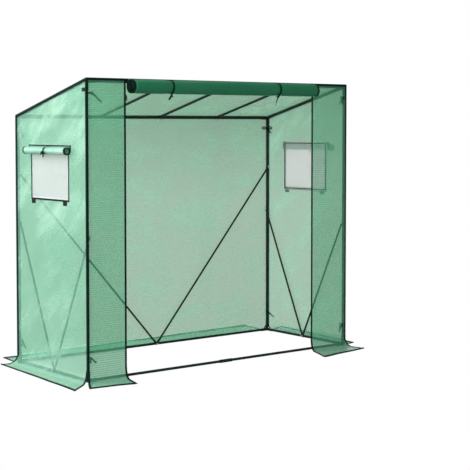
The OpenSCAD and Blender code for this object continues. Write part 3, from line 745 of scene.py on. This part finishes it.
inner_rafters = ["inner_rafter_1", "inner_rafter_2", "inner_rafter_3"]
end_rafter_x = half_w - 0.011
inner_rafter_x = [sum(corner.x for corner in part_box(name)) / 2 for name in inner_rafters]
rafter_x = [-end_rafter_x, *inner_rafter_x, end_rafter_x]
roof_out = Vector((0, math.sin(slope), math.cos(slope)))
roof_back = Vector((0, math.cos(slope), -math.sin(slope)))
roof_sag = 0.004
roof_ripple_h = 0.0014
roof_ripple_w = 0.11


def roof_point(x, y):
    """A point of the roof's sheet, which hangs a little between the rafters."""
    bay = next(((a, b) for a, b in zip(rafter_x, rafter_x[1:]) if a <= x <= b), None)
    sag = 0.0
    if bay:
        hem = min(half_d - y, y + half_d)
        middle = math.sin(math.pi * (x - bay[0]) / (bay[1] - bay[0])) ** 2
        sag = -roof_sag * middle * ease((hem - 0.02) / 0.12)
        sag += roof_ripple_h * middle * soft_noise(x, y, 9, roof_ripple_w)
    spot = Vector((x, y, roof_height(y))) + roof_out * (sag - sheet_t / 2)
    return spot, (x, y / math.cos(slope))


roof = cloth_piece(
    "roof_sheet", steps(-half_w, half_w, 0.016), steps(-half_d, half_d, 0.016), roof_point, cover_cloth,
    slot="cover_sheet", stands_for=["roof_panel"])


def folded_tape(name, line, on_top, down, stands_for=(), drop=binding_w):
    """Tape folded over an edge: line is the edge, on_top and down lead away from it on its two faces."""
    lift = binding_t / 2
    fold_r = 0.001
    corner = (on_top + down) * -lift
    across = [
        on_top * (binding_w - lift) - down * lift,
        on_top * (binding_w / 2) - down * lift,
        on_top * fold_r - down * lift,
        corner * 0.75,
        down * fold_r - on_top * lift,
        down * (drop / 2) - on_top * lift,
        down * drop - on_top * lift,
    ]
    lengths = lengths_along(line)

    def place(i, j):
        return line[i] + across[j], (lengths[i], j * binding_w / 3)

    mesh = cloth_mesh(name, range(len(line)), range(len(across)), place)
    work = bmesh.new()
    work.from_mesh(mesh)
    outward = -(on_top + down)
    if sum(face.normal.dot(outward) for face in work.faces) < 0:
        bmesh.ops.reverse_faces(work, faces=work.faces)
    work.to_mesh(mesh)
    work.free()
    piece = add_piece(name, mesh, binding_tape, slot="binding", stands_for=stands_for)
    thicken(piece, binding_t * 0.45, 1.0)


def line_between(start, stop, size=0.02):
    """Points from one point to another, about size apart."""
    count = max(2, round((stop - start).length / size))
    return [start.lerp(stop, i / count) for i in range(count + 1)]


def roof_corner(sx, sy):
    """The roof's corner to the left or right and in front or behind."""
    return Vector((sx * half_w, sy * half_d, roof_height(sy * half_d)))


side_drop = 0.017
corner_edging_below_roof = 0.008
corner_edging_below_foot = 0.027
for end, start, stop, on_top, drop in (
        ("front", (-1, -1), (1, -1), roof_back, binding_w),
        ("rear", (-1, 1), (1, 1), -roof_back, binding_w),
        ("left", (-1, -1), (-1, 1), across_x, side_drop),
        ("right", (1, -1), (1, 1), -across_x, side_drop)):
    folded_tape("roof_edging_" + end, line_between(roof_corner(*start), roof_corner(*stop)), on_top, plumb,
                ["edge_binding"] if end == "front" else (), drop)
for sx, side in sides:
    for sy, end, spread in ((-1, "front", 0.75), (1, "rear", 1.6)):
        top = roof_corner(sx, sy) + plumb * corner_edging_below_roof
        foot = Vector((top.x, top.y, foot_top - corner_edging_below_foot))
        folded_tape(f"{end}_{side}_corner_edging", line_between(foot, top),
                    across_x * -sx, across_y * -sy * spread)


# Window edges, nets and pads

window_edge_w = 0.009
window_edge_t = 0.0012
window_lining_w = 0.004
window_lining_t = 0.001
window_overlap = 0.001
net_hem_t = 0.0012
net_overlap = 0.009
net_pitch = 0.0027
net_cord_w = 0.0012
net_cord_t = 0.0005
net_sag = 0.002


def flat_strip(name, corners, facing, finish, thickness, slot):
    """A flat strip through four corners, with a line of slight puckers along it."""
    a, b, c, d = corners
    length = (b - a).length
    width = (d - a).length
    count = max(2, round(length / 0.012))

    def place(i, j):
        share = i / count
        pucker = 0.0002 * math.sin(share * count * 1.9) * (1 - abs(j - 1))
        spot = a.lerp(b, share).lerp(d.lerp(c, share), j / 2) + facing * pucker
        return spot, (share * length, j / 2 * width)

    cloth_piece(name, range(count + 1), range(3), place, finish, thickness, slot=slot)


def window_frame(side, name, x, inner, outer, finish, thickness, slot):
    """Four mitred strips round a window, between an inner and an outer margin measured from its edge."""

    def corner(margin, end, level):
        z = window_high + margin if level > 0 else window_low - margin
        return Vector((x, end * (window_half + margin), z))

    turns = [(-1, -1), (1, -1), (1, 1), (-1, 1)]
    for a, b, label in zip(turns, turns[1:] + turns[:1], ("low", "rear", "high", "front")):
        corners = [corner(outer, *a), corner(outer, *b), corner(inner, *b), corner(inner, *a)]
        if side < 0:
            corners = [corners[1], corners[0], corners[3], corners[2]]
        flat_strip(f"{name}_{label}", corners, across_x * side, finish, thickness, slot)


def woven_net(name, side, x, replaced):
    """Thin cords crossing each other in two directions, with the net slack by a few millimetres."""
    low_y, high_y = -window_half - net_border / 2, window_half + net_border / 2
    low_z, high_z = window_low - net_border / 2, window_high + net_border / 2
    work = bmesh.new()

    def slack(y, z):
        """How far the net hangs out of its plane."""
        hem = min(y - low_y, high_y - y, z - low_z, high_z - z)
        return ease((hem - net_border) / 0.06) * net_sag * soft_noise(y, z, side + 12, 0.1)

    def upright_cord(y, z):
        return Vector((x + net_cord_w * 0.25 + slack(y, z), y, z)), None

    def level_cord(z, y):
        return Vector((x - net_cord_w * 0.25 + slack(y, z), y, z)), None

    for start, stop, low, high, place in (
            (low_y, high_y, low_z, high_z, upright_cord), (low_z, high_z, low_y, high_y, level_cord)):
        for i in range(int((stop - start) / net_pitch) + 1):
            at = start + i * net_pitch
            edges = (at - net_cord_w / 2, at + net_cord_w / 2)
            shaped_grid(work, edges, steps(low, high, (high - low) / 14), place)
    piece = add_piece(name, finished_mesh(work, name), net_thread, slot="window_net", stands_for=[replaced])
    thicken(piece, net_cord_t)


for side, label in sides:
    box_low, box_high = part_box(f"{label}_window_net")
    net_x = (box_low.x + box_high.x) / 2
    woven_net(f"{label}_net", side, net_x, f"{label}_window_net")
    window_frame(side, f"{label}_net_hem", net_x + side * 0.0003, -net_overlap, net_border,
                 net_thread, net_hem_t, "window_net")
    window_frame(side, f"{label}_window_edging", side * (half_w + 0.0004), -window_overlap, window_edge_w,
                 binding_tape, window_edge_t, "binding")
    window_frame(side, f"{label}_window_lining", side * (half_w - 0.0062), -window_overlap, window_lining_w,
                 binding_tape, window_lining_t, "binding")


def soft_pad(name, low, high, finish, slot, bevel=0.004, stands_for=()):
    """A small padded block with rounded corners."""
    work = bmesh.new()
    bmesh.ops.create_cube(work, size=1)
    size = high - low
    bmesh.ops.scale(work, vec=size, verts=work.verts)
    thin = min(size)
    across = [edge for edge in work.edges if abs(edge.calc_length() - thin) < 1e-6]
    soften(work, across, bevel, 4)
    rim = [edge for edge in work.edges if edge.calc_length() < max(size) and edge not in across]
    soften(work, rim, thin * 0.3, 2)
    bmesh.ops.translate(work, vec=(low + high) / 2, verts=work.verts)
    add_piece(name, finished_mesh(work, name), finish, slot=slot, stands_for=stands_for)


pads_low, pads_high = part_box("hook_pads")
pad_w = 0.036
pad_more = 0.003
for side, label in sides:
    for y, end in ((pads_low.y, "front"), (pads_high.y - pad_w, "rear")):
        low_x, high_x = sorted((side * half_w, side * pads_high.x))
        soft_pad(f"{label}_{end}_hook_pad", Vector((low_x, y - pad_more, pads_low.z)),
                 Vector((high_x, y + pad_w + pad_more, pads_high.z)), hook_cloth, "hook_pad",
                 stands_for=["hook_pads"] if (label, end) == ("left", "front") else ())

patch_l = 0.050
patch_h = 0.021
patch_t = 0.0014
patch_z = front_h - 0.064
soft_pad("tie_patch", Vector((-half_w - patch_t, -half_d, patch_z - patch_h / 2)),
         Vector((-half_w, -half_d + patch_l, patch_z + patch_h / 2)), binding_tape, "binding", bevel=0.002)


# Rolled sheets

door_r = 0.042
flap_r = 0.023
flap_more = 0.03
tie_squeeze_w = 0.028
end_calm_w = 0.07
end_wobble = 0.0025
seam_h = 0.007
seam_t = 0.0018
turn_steps = 30
strip_steps = 44


class Roll:
    """A sheet rolled up beside a wall. toward leads from its middle line to the wall. Its turns are drawn in
    at the ties by the pinch, and core is the radius left open inside its ends, where they lie looser."""

    def __init__(self, name, centre, toward, radius, length, ends, seed, ties, pinch, core=None):
        self.name = name
        self.centre = centre
        self.toward = toward
        self.along = Vector((toward.y, -toward.x, 0))
        self.radius = radius
        self.ends = ends
        self.seed = seed
        self.ties = ties
        self.pinch = pinch
        turns = (radius - math.sqrt(radius * radius - roll_pitch * length / math.pi)) / roll_pitch
        self.turn = turns * 2 * math.pi
        self.length = length
        self.end_pitch = (radius - core) / turns if core else roll_pitch

    def from_end(self, x):
        """Distance from the nearer end."""
        return min(x - self.ends[0], self.ends[1] - x)

    def shape(self, x, angle):
        """The roll's size beside a true circle: drawn in under the ties, uneven between them."""
        squeeze = sum(math.exp(-(((x - tie) / tie_squeeze_w) ** 2)) for tie in self.ties) * self.pinch
        wave = noise.noise(Vector((x * 9, math.cos(angle) * 0.9, math.sin(angle) * 0.9 + self.seed)))
        ripple = noise.noise(Vector((x * 30, math.cos(angle) * 2.4, math.sin(angle) * 2.4 + self.seed)))
        fullness = 0.985 - 0.022 * abs(wave) - 0.012 * abs(ripple)
        return fullness - squeeze + 0.012 * (1 - ease(self.from_end(x) / 0.05))

    def point(self, x, turned):
        """A point of the sheet at an angle rolled in from the outer end."""
        shared = ease(turned / 0.5)
        size = 1 - shared * (1 - self.shape(x, turned))
        near_end = 1 - ease((self.from_end(x) - binding_w) / end_calm_w)
        pitch = roll_pitch + (self.end_pitch - roll_pitch) * near_end
        reach = (self.radius - sheet_t / 2 - pitch * turned / (2 * math.pi)) * size
        wobble = end_wobble * soft_noise(turned, x, self.seed, 2.2)
        share = (x - self.ends[0]) / (self.ends[1] - self.ends[0])
        run = x + wobble * (share - 0.5) * 2
        spot = self.centre + self.along * run + self.toward * (reach * math.cos(turned))
        spot.z -= reach * math.sin(turned)
        flat = self.radius * turned - roll_pitch * turned * turned / (4 * math.pi)
        return spot, (x, flat)

    def columns(self, size, fixed=()):
        """Places along the roll, between its end tapes."""
        return steps(self.ends[0] + binding_w / 2, self.ends[1] - binding_w / 2, size, fixed)

    def tapes(self):
        """The label and the places along the roll of each end tape."""
        return ("low", tape_columns(self.ends[0])), ("high", tape_columns(self.ends[1] - binding_w))

    def build(self, finish, slot, body, stands_for, size=0.022):
        """The rolled sheet and the tapes along its two ends."""
        rows = steps(0.0, self.turn, 2 * math.pi / turn_steps)
        piece = cloth_piece(self.name, self.columns(size, self.ties), rows, self.point, finish,
                            slot=slot, body=body, stands_for=stands_for)
        self.ends[1] - self.ends[0]
        for label, columns in self.tapes():
            tape_piece(f"{self.name}_tape_{label}", columns, rows, self.point, roll_tape_t, body)

    def hanging(self, name, finish, slot, top, joint, stands_for):
        """The sheet between the seam above and the roll, with its side tapes. Its place on the flat cloth is
        the one it has when drawn out as the roll lowers."""
        start = self.centre + self.toward * (self.radius - sheet_t / 2)
        height = top - start.z
        rows = steps(0.0, height, height / strip_steps)

        def place(x, up):
            spot = start + self.along * x
            spot.z = start.z + up
            down = 1 - up / height
            return spot, (x, -down * height - ease(down) * joint_range[joint])

        made = [cloth_piece(name, self.columns(0.03), rows, place, finish,
                            slot=slot, body=None, stands_for=stands_for)]
        for label, columns in self.tapes():
            made.append(tape_piece(f"{name}_tape_{label}", columns, rows, place, roll_tape_t, None))
        for piece in made:
            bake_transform(piece)
        self.ends[1] - self.ends[0]


strip_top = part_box("door_strip")[1].z
joint_range = {joint["name"]: joint["range_m"][1] for joint in frame["joints"]}


def roll_centre(node, toward, radius):
    """The middle of a rolled sheet, from its box and the side that its outer end lies on."""
    low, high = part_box(node)
    middle = (low + high) / 2
    edge = high if toward.x + toward.y > 0 else low
    centre = Vector((0, 0, low.z + radius - roll_pitch / 4))
    if toward.x:
        centre.x = edge.x - toward.x * radius
        centre.y = middle.y
    else:
        centre.x = middle.x
        centre.y = edge.y - toward.y * radius
    return centre, (high - low) / 2


door_centre, door_reach = roll_centre("door_roll", across_y, door_r)
door_roll = Roll(
    "door_roll_sheet", door_centre, across_y, door_r, front_h - foot_top,
    (-door_reach.x - 0.005, door_reach.x + 0.004), 21, door_tie_x, pinch=0.1, core=0.006)
door_roll.build(shaded_door_cloth, "door_sheet", "door", ["door_roll"])
door_roll.hanging(
    "door_strip_sheet", shaded_door_cloth, "door_sheet", strip_top, "door_lower", ["door_strip"])

flap_rolls = {}
for side, label in sides:
    toward = across_x * -side
    centre, reach = roll_centre(f"{label}_flap_roll", toward, flap_r)
    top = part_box(f"{label}_flap_strip")[1].z
    roll = Roll(
        f"{label}_flap_roll_sheet", centre, toward, flap_r, window_high - window_low + flap_more,
        (-reach.y, reach.y), 30 + side, (0.0,), pinch=0.16)
    roll.build(lit_flap_cloth, "cover_sheet", f"{label}_flap", [f"{label}_flap_roll"], size=0.014)
    roll.hanging(f"{label}_flap_strip_sheet", cover_cloth, "cover_sheet", top,
                 f"{label}_flap_lower", [f"{label}_flap_strip"])
    flap_rolls[label] = roll
    seam_x = side * (half_w + 0.0012)
    seam_reach = side * (window_half + flap_more)
    a, b = (Vector((seam_x, y, top - 0.001)) for y in (seam_reach, -seam_reach))
    rise = upright * seam_h
    flat_strip(f"{label}_flap_seam", [a, b, b + rise, a + rise], across_x * side,
               binding_tape, seam_t, "binding")


# Ribbon ties


def ribbon(name, path, across, body="root", stands_for=(), width=ribbon_w):
    """A ribbon along a path. across is its width's direction, one for all points or one for each."""
    if isinstance(across, Vector):
        across = [across] * len(path)
    lengths = lengths_along(path)
    shares = (-0.5, -0.25, 0.0, 0.25, 0.5)

    def place(i, share):
        way = (path[min(i + 1, len(path) - 1)] - path[max(i - 1, 0)]).normalized()
        side = across[i].normalized()
        cup = 0.0006 * (1 - abs(share) * 4)
        spot = path[i] + side * (share * width) + way.cross(side) * cup
        return spot, (lengths[i], share * width)

    return cloth_piece(name, range(len(path)), shares, place, ribbon_cloth, ribbon_t,
                       body=body, slot="ribbon", stands_for=stands_for)


def knot(name, centre, way, body="root", size=1.0):
    """A tight ribbon knot: a crushed ball with a turn of ribbon round it."""
    turn = way.to_track_quat("Z", "Y").to_matrix()
    ball = Vector((0.0066, 0.0048, 0.0058))
    work = bmesh.new()
    bmesh.ops.create_uvsphere(work, u_segments=28, v_segments=18, radius=1)
    for corner in work.verts:
        p = corner.co.copy()
        groove = 0.12 * math.sin(5 * math.atan2(p.y, p.x) + 3 * p.z)
        crush = 0.1 * noise.noise(p * 2.2 + centre * 50)
        fullness = size * (1 + (groove + crush) * 0.7)
        corner.co = centre + turn @ (p * ball) * fullness

    def band(u, v):
        """A point of the turn of ribbon, by the angle round the knot and the angle round the ribbon."""
        spot = Vector((
            (0.0060 + 0.0015 * math.cos(v)) * math.cos(u),
            (0.0045 + 0.0014 * math.cos(v)) * math.sin(u),
            0.0034 * math.sin(v) + 0.0008 * math.sin(2 * u)))
        return centre + turn @ spot * size, None

    round_knot, round_ribbon = (steps(0.0, 2 * math.pi, 2 * math.pi / count) for count in (24, 8))
    ring = shaped_grid(work, round_knot, round_ribbon, band)
    bmesh.ops.remove_doubles(work, verts=list(ring), dist=1e-6)
    bmesh.ops.recalc_face_normals(work, faces=work.faces)
    lay_flat(work, lambda corner: (corner.co.x + corner.co.y, corner.co.z))
    add_piece(name, finished_mesh(work, name), ribbon_cloth, body=body, slot="ribbon")


def curve_through(points, count=26):
    """A smooth line through a few points."""
    found = []
    spans = len(points) - 1
    for i in range(count + 1):
        at = i / count * spans
        k = min(int(at), spans - 1)
        t = at - k
        before = points[max(k - 1, 0)]
        a, b = points[k], points[k + 1]
        after = points[min(k + 2, spans)]
        found.append(0.5 * (
            (2 * a) + (b - before) * t + (2 * before - 5 * a + 4 * b - after) * t * t
            + (3 * a - before - 3 * b + after) * t * t * t))
    return found


def roll_tie(name, roll, x, top, knot_below, tails, body, stands_for, knot_size=1.0):
    """A ribbon down behind the hanging sheet, under the roll, up over its front and back to the seam. The
    knot is given by its angle below the roll's middle, and each tail by its lean, length and swing."""
    squeeze = roll.pinch * 0.92
    near = roll.radius + 0.0003 + ribbon_t / 2
    base = roll.centre + roll.along * x

    def around(angle, reach):
        """A point at an angle round the roll, from its side to the wall and on underneath."""
        spot = base + roll.toward * (reach * math.cos(angle))
        spot.z -= reach * math.sin(angle)
        return spot

    path = []
    for i in range(57):
        turned = math.pi * 1.5 * i / 56
        path.append(around(turned, near - roll.radius * squeeze * ease(turned / 0.5)))
    last = path[-1]
    reach = roll.radius * (1 - squeeze) * 0.62
    for share, rise in ((0.4, 0.0), (0.8, 0.0006), (1.3, 0.001)):
        path.append(last + roll.toward * reach * share + upright * rise)
    ribbon(name, path, roll.along, body=body, stands_for=stands_for)

    start = path[0]
    back = [start + upright * ((top - 0.002 - start.z) * i / 46) for i in range(47)]
    behind = ribbon(name + "_back", back, roll.along, body=None)
    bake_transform(behind)

    centre = around(math.pi - knot_below, near + 0.0038 * knot_size - roll.radius * squeeze)
    knot(name + "_knot", centre, roll.along, body, knot_size)
    out = -roll.toward
    for i, (lean, long, swing) in enumerate(tails):
        way = roll.along * math.sin(lean) + plumb * math.cos(lean)
        line = curve_through([
            centre + out * 0.001,
            centre + way * long * 0.3 + out * 0.004 * swing,
            centre + way * long * 0.65 + out * 0.005 * swing + roll.along * 0.004 * swing,
            centre + way * long + out * 0.002])
        sideways = []
        for k in range(len(line)):
            twist = 0.9 * swing * math.sin(2.6 * k / len(line))
            level = roll.along * math.cos(lean + twist)
            sideways.append(level + upright * math.sin(lean) + out * math.sin(twist))
        ribbon(f"{name}_tail_{i + 1}", line, sideways, body=body)


door_tie_left, door_tie_right = door_tie_x
roll_tie("door_tie_1", door_roll, door_tie_left, strip_top, math.radians(65),
         [(-0.62, 0.042, 0.5), (0.35, 0.02, -0.6)], "door", ["door_ties"])
roll_tie("door_tie_2", door_roll, door_tie_right, strip_top, math.radians(65),
         [(-0.40, 0.062, -0.5), (-1.1, 0.022, 0.7)], "door", ())
for side, label in sides:
    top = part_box(f"{label}_flap_strip")[1].z
    roll_tie(f"{label}_flap_tie", flap_rolls[label], 0.0, top, math.radians(25),
             [(-1.15, 0.026, 0.5), (0.35, 0.028, -0.4), (1.4, 0.018, 0.4)],
             f"{label}_flap", [f"{label}_flap_tie"], knot_size=1.45)


def post_tie(post, label, z, turn, tails, arms=(), stands_for=(), slack=0.0, width=ribbon_w):
    """A ribbon knotted round a post inside the cover. Each tail is given by its shares to the side and
    outward from the knot and its length, and each arm of the bow by its length to the side. slack is the
    knot's distance from the turn round the post."""
    name = f"{post}_{label}_tie"
    post_low, post_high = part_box(post + "_post_upper")
    middle = Vector(((post_low.x + post_high.x) / 2, (post_low.y + post_high.y) / 2, z + ribbon_w / 2))
    reach = (post_high.x - post_low.x) / 2 + 0.0004 + ribbon_t / 2
    turn = math.radians(turn)
    out = Vector((math.sin(turn), -math.cos(turn), 0))
    aside = Vector((-out.y, out.x, 0))
    ring = []
    for i in range(41):
        angle = 2 * math.pi * i / 40
        round_post = (out * math.cos(angle) + aside * math.sin(angle)) * reach
        ring.append(middle + round_post + upright * (0.0015 * math.sin(2 * angle)))
    ribbon(name, ring, plumb, stands_for=stands_for)
    centre = middle + out * (reach + 0.0042 + slack)
    knot(name + "_knot", centre, upright, size=1.25 if slack else 1.0)
    if slack:
        for i, bow in ((1, 0.004), (2, -0.004)):
            neck = [middle + out * reach, middle + out * (reach + slack * 0.5) + aside * bow, centre]
            ribbon(f"{name}_neck_{i}", curve_through(neck), plumb)
    face = -across_y
    for i, (sideways, outward, long) in enumerate(tails):
        down = math.sqrt(max(0.0, 1 - sideways * sideways - outward * outward))
        way = aside * sideways + out * outward + plumb * down
        flat = way.cross(face).normalized()
        line = curve_through([
            centre + out * 0.001,
            centre + way * long * 0.35 + face * 0.003,
            centre + way * long * 0.7 + flat * 0.002,
            centre + way * long + plumb * long * 0.03])
        across = [flat + face * (0.4 * math.sin(3.0 * k / len(line) + i)) for k in range(len(line))]
        ribbon(f"{name}_tail_{i + 1}", line, across, width=width)
    for i, long in enumerate(arms):
        arm = aside * long
        line = curve_through([
            centre,
            centre + arm * 0.5 + plumb * -0.006 + out * 0.004,
            centre + arm + out * 0.003,
            centre + arm * 0.55 + plumb * 0.008 + out * 0.007,
            centre + out * 0.002], 36)
        ribbon(f"{name}_arm_{i + 1}", line, out * 0.45 + plumb * 0.9, width=ribbon_w * 0.8)


low_tie = 0.13
high_front_tie = 1.5917
high_rear_tie = 1.3975
post_tie("front_left", "low", low_tie, 90, [(0.0, 0.8, 0.05), (0.1, 0.2, 0.03)], stands_for=["post_ties"])
post_tie("front_left", "high", high_front_tie, 90, [(0.0, 0.82, 0.082)], [0.016, -0.012],
         slack=0.016, width=0.012)
for post, label, z, turn, tails, arms in (
        ("front_right", "low", low_tie, -90, [(0.0, 0.35, 0.05), (0.1, 0.6, 0.03)], [0.02, -0.016]),
        ("front_right", "high", high_front_tie, -90, [(0.0, 0.5, 0.05), (0.1, 0.1, 0.04)], [0.02, -0.016]),
        ("rear_left", "low", low_tie, 45, [(0.4, 0.3, 0.056), (-0.5, 0.2, 0.035)], []),
        ("rear_left", "high", high_rear_tie, 45, [(0.3, 0.2, 0.056), (-0.6, 0.2, 0.035)], [0.022, -0.02]),
        ("rear_right", "low", low_tie, -45, [(0.82, 0.1, 0.062), (0.3, 0.2, 0.02)], []),
        ("rear_right", "high", high_rear_tie, -45, [(0.62, 0.1, 0.045), (-0.5, 0.3, 0.014)],
         [0.036, -0.036])):
    post_tie(post, label, z, turn, tails, arms)


# Zips

bead_r = 0.0015


def zip_half(side, label):
    """The half of a zip on a front panel's edge: its tape and its row of teeth, narrower at their tips."""
    low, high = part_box(f"{label}_zip")
    middle_y = (low.y + high.y) / 2
    tooth_gap = 0.003
    tooth_w = 0.0027
    tooth_h = 0.0016
    tip_share = 0.62
    bead_x = low.x + bead_r if side > 0 else high.x - bead_r
    low_x, high_x = (bead_x, high.x) if side > 0 else (low.x, bead_x)
    cloth_piece(
        f"{label}_zip_tape", [low_x, (low_x + high_x) / 2, high_x], steps(low.z, front_h - sheet_t, 0.012),
        lambda x, z: (Vector((x, middle_y, z)), (z, x)), zip_tape, 0.0009,
        slot="zip", stands_for=[f"{label}_zip"])
    work = bmesh.new()
    for i in range(int((high.z - low.z) / tooth_gap)):
        z = low.z + (i + 0.5) * tooth_gap
        for corner in bmesh.ops.create_cube(work, size=1)["verts"]:
            slim = tip_share if corner.co.x * side < 0 else 1.0
            corner.co = Vector((
                bead_x + corner.co.x * tooth_w,
                middle_y + corner.co.y * tooth_w * slim,
                z + corner.co.z * tooth_h * slim))
    soften(work, list(work.edges), 0.0003, 1)
    name = f"{label}_zip_teeth"
    add_piece(name, finished_mesh(work, name), tooth_plastic, slot="zip")


def rounded_block(work, low, high, bevel, segments):
    """Adds a block with rounded edges."""
    low, high = Vector(low), Vector(high)
    made = bmesh.ops.create_cube(work, size=1)["verts"]
    bmesh.ops.scale(work, vec=high - low, verts=made)
    bmesh.ops.translate(work, vec=(low + high) / 2, verts=made)
    soften(work, list({edge for corner in made for edge in corner.link_edges}), bevel, segments)


def oblong(work, middle, half_x, half_z, power):
    """Adds a rounded oblong line in an upright plane and gives its edges."""
    made = bmesh.ops.create_circle(work, segments=40, radius=1)["verts"]
    for corner in made:
        x, z = (math.copysign(abs(part) ** power, part) for part in corner.co.xy)
        corner.co = middle + Vector((half_x * x, 0, half_z * z))
    return list({edge for corner in made for edge in corner.link_edges})


def zip_slider(side, label):
    """A zip's slider with its pull tab hanging down in front."""
    low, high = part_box(f"{label}_zip_slider")
    slider_h = 0.02
    bead_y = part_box(f"{label}_zip")[0].y + bead_r
    middle = Vector(((low.x + high.x) / 2, bead_y, high.z - slider_h))
    parts = (
        # Front and rear plates
        ((-0.0045, 0.0045), (-0.0045, -0.0024), (0.0, slider_h), 0.0008, 3),
        ((-0.0045, 0.0045), (0.0024, 0.0045), (0.0, slider_h), 0.0008, 3),
        # Neck between them and guide beside the teeth
        ((-0.0012, 0.0012), (-0.003, 0.003), (0.016, slider_h), 0.0005, 3),
        (sorted((side * -0.0045, side * -0.0027)), (-0.003, 0.003), (0.002, 0.018), 0.0006, 3),
        # The bail's two legs and its bar
        ((-0.0014, 0.0014), (-0.0072, -0.004), (0.0075, 0.0092), 0.0005, 2),
        ((-0.0014, 0.0014), (-0.0072, -0.004), (0.0126, 0.0143), 0.0005, 2),
        ((-0.0014, 0.0014), (-0.0082, -0.0068), (0.0075, 0.0143), 0.0005, 2))
    work = bmesh.new()
    for *reaches, bevel, segments in parts:
        start, stop = (middle + Vector(corner) for corner in zip(*reaches))
        rounded_block(work, start, stop, bevel, segments)
    bmesh.ops.recalc_face_normals(work, faces=work.faces)
    name = f"{label}_slider_body"
    add_piece(name, finished_mesh(work, name), slider_paint, body=f"{label}_slider", slot="zip_slider",
              stands_for=[f"{label}_zip_slider"])

    tab_t = 0.0013
    tab_top = middle.z + 0.013
    tab_half = (tab_top - low.z) / 2
    tab_middle = Vector((middle.x, low.y, low.z + tab_half))
    work = bmesh.new()
    outline = oblong(work, tab_middle, 0.0035, tab_half, 0.5)
    hole = oblong(work, Vector((middle.x, low.y, tab_top - 0.0045)), 0.0016, 0.0026, 0.7)
    bmesh.ops.bridge_loops(work, edges=outline + hole)
    made = bmesh.ops.extrude_face_region(work, geom=work.faces[:])["geom"]
    raised = [part for part in made if isinstance(part, bmesh.types.BMVert)]
    bmesh.ops.translate(work, vec=across_y * tab_t, verts=raised)
    bmesh.ops.recalc_face_normals(work, faces=work.faces)
    name = f"{label}_slider_tab"
    tab = add_piece(name, finished_mesh(work, name), slider_paint, body=f"{label}_slider", slot="zip_slider")
    softened = tab.modifiers.new("edges", "BEVEL")
    softened.width = 0.0003
    softened.segments = 2
    for face in tab.data.polygons:
        face.use_smooth = False


for side, label in sides:
    zip_half(side, label)
for side, label in sides:
    zip_slider(side, label)


# The frame's own finishes

for name, node in nodes.items():
    if node.hide_render:
        continue
    if name in ("bolts", "wing_nuts"):
        finish = zinc_plate
    elif "connectors" in name or "sleeve" in name:
        finish = connector_paint
    else:
        finish = tube_paint
    node.data.materials.clear()
    node.data.materials.append(finish)


# Camera and light

camera = add_object("camera", bpy.data.cameras.new("camera"))
camera.location = (-4.772, -6.385, 1.421)
camera.rotation_euler = (math.radians(87.12), 0, math.radians(-38.89))
camera.data.lens = 98.68
camera.data.sensor_width = 36
camera.data.shift_y = -0.0957
camera.data.dof.use_dof = False
bpy.context.scene.camera = camera


def soft_light(name, place, target, width, height, power):
    """A large soft light turned to a point."""
    lamp = bpy.data.lights.new(name, "AREA")
    lamp.shape = "RECTANGLE"
    lamp.size = width
    lamp.size_y = height
    lamp.energy = power
    light = add_object(name, lamp)
    light.location = place
    light.rotation_euler = (Vector(target) - Vector(place)).to_track_quat("-Z", "Y").to_euler()
    light.visible_camera = False


for name, place, target, width, height, power in (
        ("rear_left_light", (-3.9, 3.3, 1.9), (-1.0, -0.1, 1.2), 2.6, 1.8, 140),
        ("upper_left_light", (-3.6, 0.6, 4.0), (-0.9, 0.0, 0.4), 3.0, 2.0, 190),
        ("low_left_light", (-4.5, -1.5, 1.5), (-1.0, 0.0, 0.4), 2.0, 1.6, 105),
        ("front_left_light", (-3.5, -5.5, 3.0), (0, 0, 0.9), 3.0, 3.0, 155),
        ("right_light", (4.0, 2.0, 0.7), (1.0, 0.1, 0.6), 3.0, 1.4, 62),
        ("top_light", (0.5, 0.8, 5.0), (0, 0, 0), 4.0, 4.0, 35)):
    soft_light(name, place, target, width, height, power)

white = (1, 1, 1, 1)
work = bmesh.new()
bmesh.ops.create_grid(work, x_segments=1, y_segments=1, size=1)
bmesh.ops.scale(work, vec=(1.22, 0.68, 1), verts=work.verts)
bmesh.ops.translate(work, vec=(0, 0, -0.002), verts=work.verts)
ground = add_object("ground", finished_mesh(work, "ground"))
floor = Finish("studio_ground")
depth = floor.node("ShaderNodeLightPath", {}, {}, "Transparent Depth")
direct = floor.node("ShaderNodeLightPath", {}, {}, "Is Camera Ray") * (1 - depth).maths("MAXIMUM", 0.0)
bright = floor.node("ShaderNodeEmission", {}, {"Color": white, "Strength": 1.0})
grey = floor.node("ShaderNodeBsdfDiffuse", {}, {"Color": (0.56, 0.62, 0.60, 1)})
ground.data.materials.append(floor.surface(floor.mix_shaders(direct, grey, bright)))

world = bpy.data.worlds.new("world")
bpy.context.scene.world = world
world.use_nodes = True
sky = Nodes(world.node_tree)
ray = sky.node("ShaderNodeLightPath", {}, {}, "Is Camera Ray")
# Seen through one sheet or more, the backdrop is dimmed, and darker above the horizon: painted shade on the
# cover, strongest on its upper parts
sheets_passed = ray.out("Transparent Depth").maths("MINIMUM", 1.0)
looking = sky.node("ShaderNodeTexCoord", {}, {}, "Generated")
rise = sky.node("ShaderNodeSeparateXYZ", {}, {0: looking}, "Z")
shaded_far_colour = sky.mix(((rise + 0.06) / 0.07).clamped(), (0.59, 0.59, 0.555), (0.34, 0.38, 0.33))
ambient = sky.node("ShaderNodeBackground", {}, {"Color": white, "Strength": 0.45})
backdrop = sky.node("ShaderNodeBackground", {}, {"Color": white, "Strength": 1.0})
# Painted shade: the dimmer backdrop behind the sheets
distance = sky.node("ShaderNodeBackground", {}, {"Color": shaded_far_colour, "Strength": 1.0})
seen = sky.mix_shaders(sheets_passed, backdrop, distance)
sky.node("ShaderNodeOutputWorld", {}, {"Surface": sky.mix_shaders(ray, ambient, seen)})
bpy.context.scene.view_settings.view_transform = "Standard"
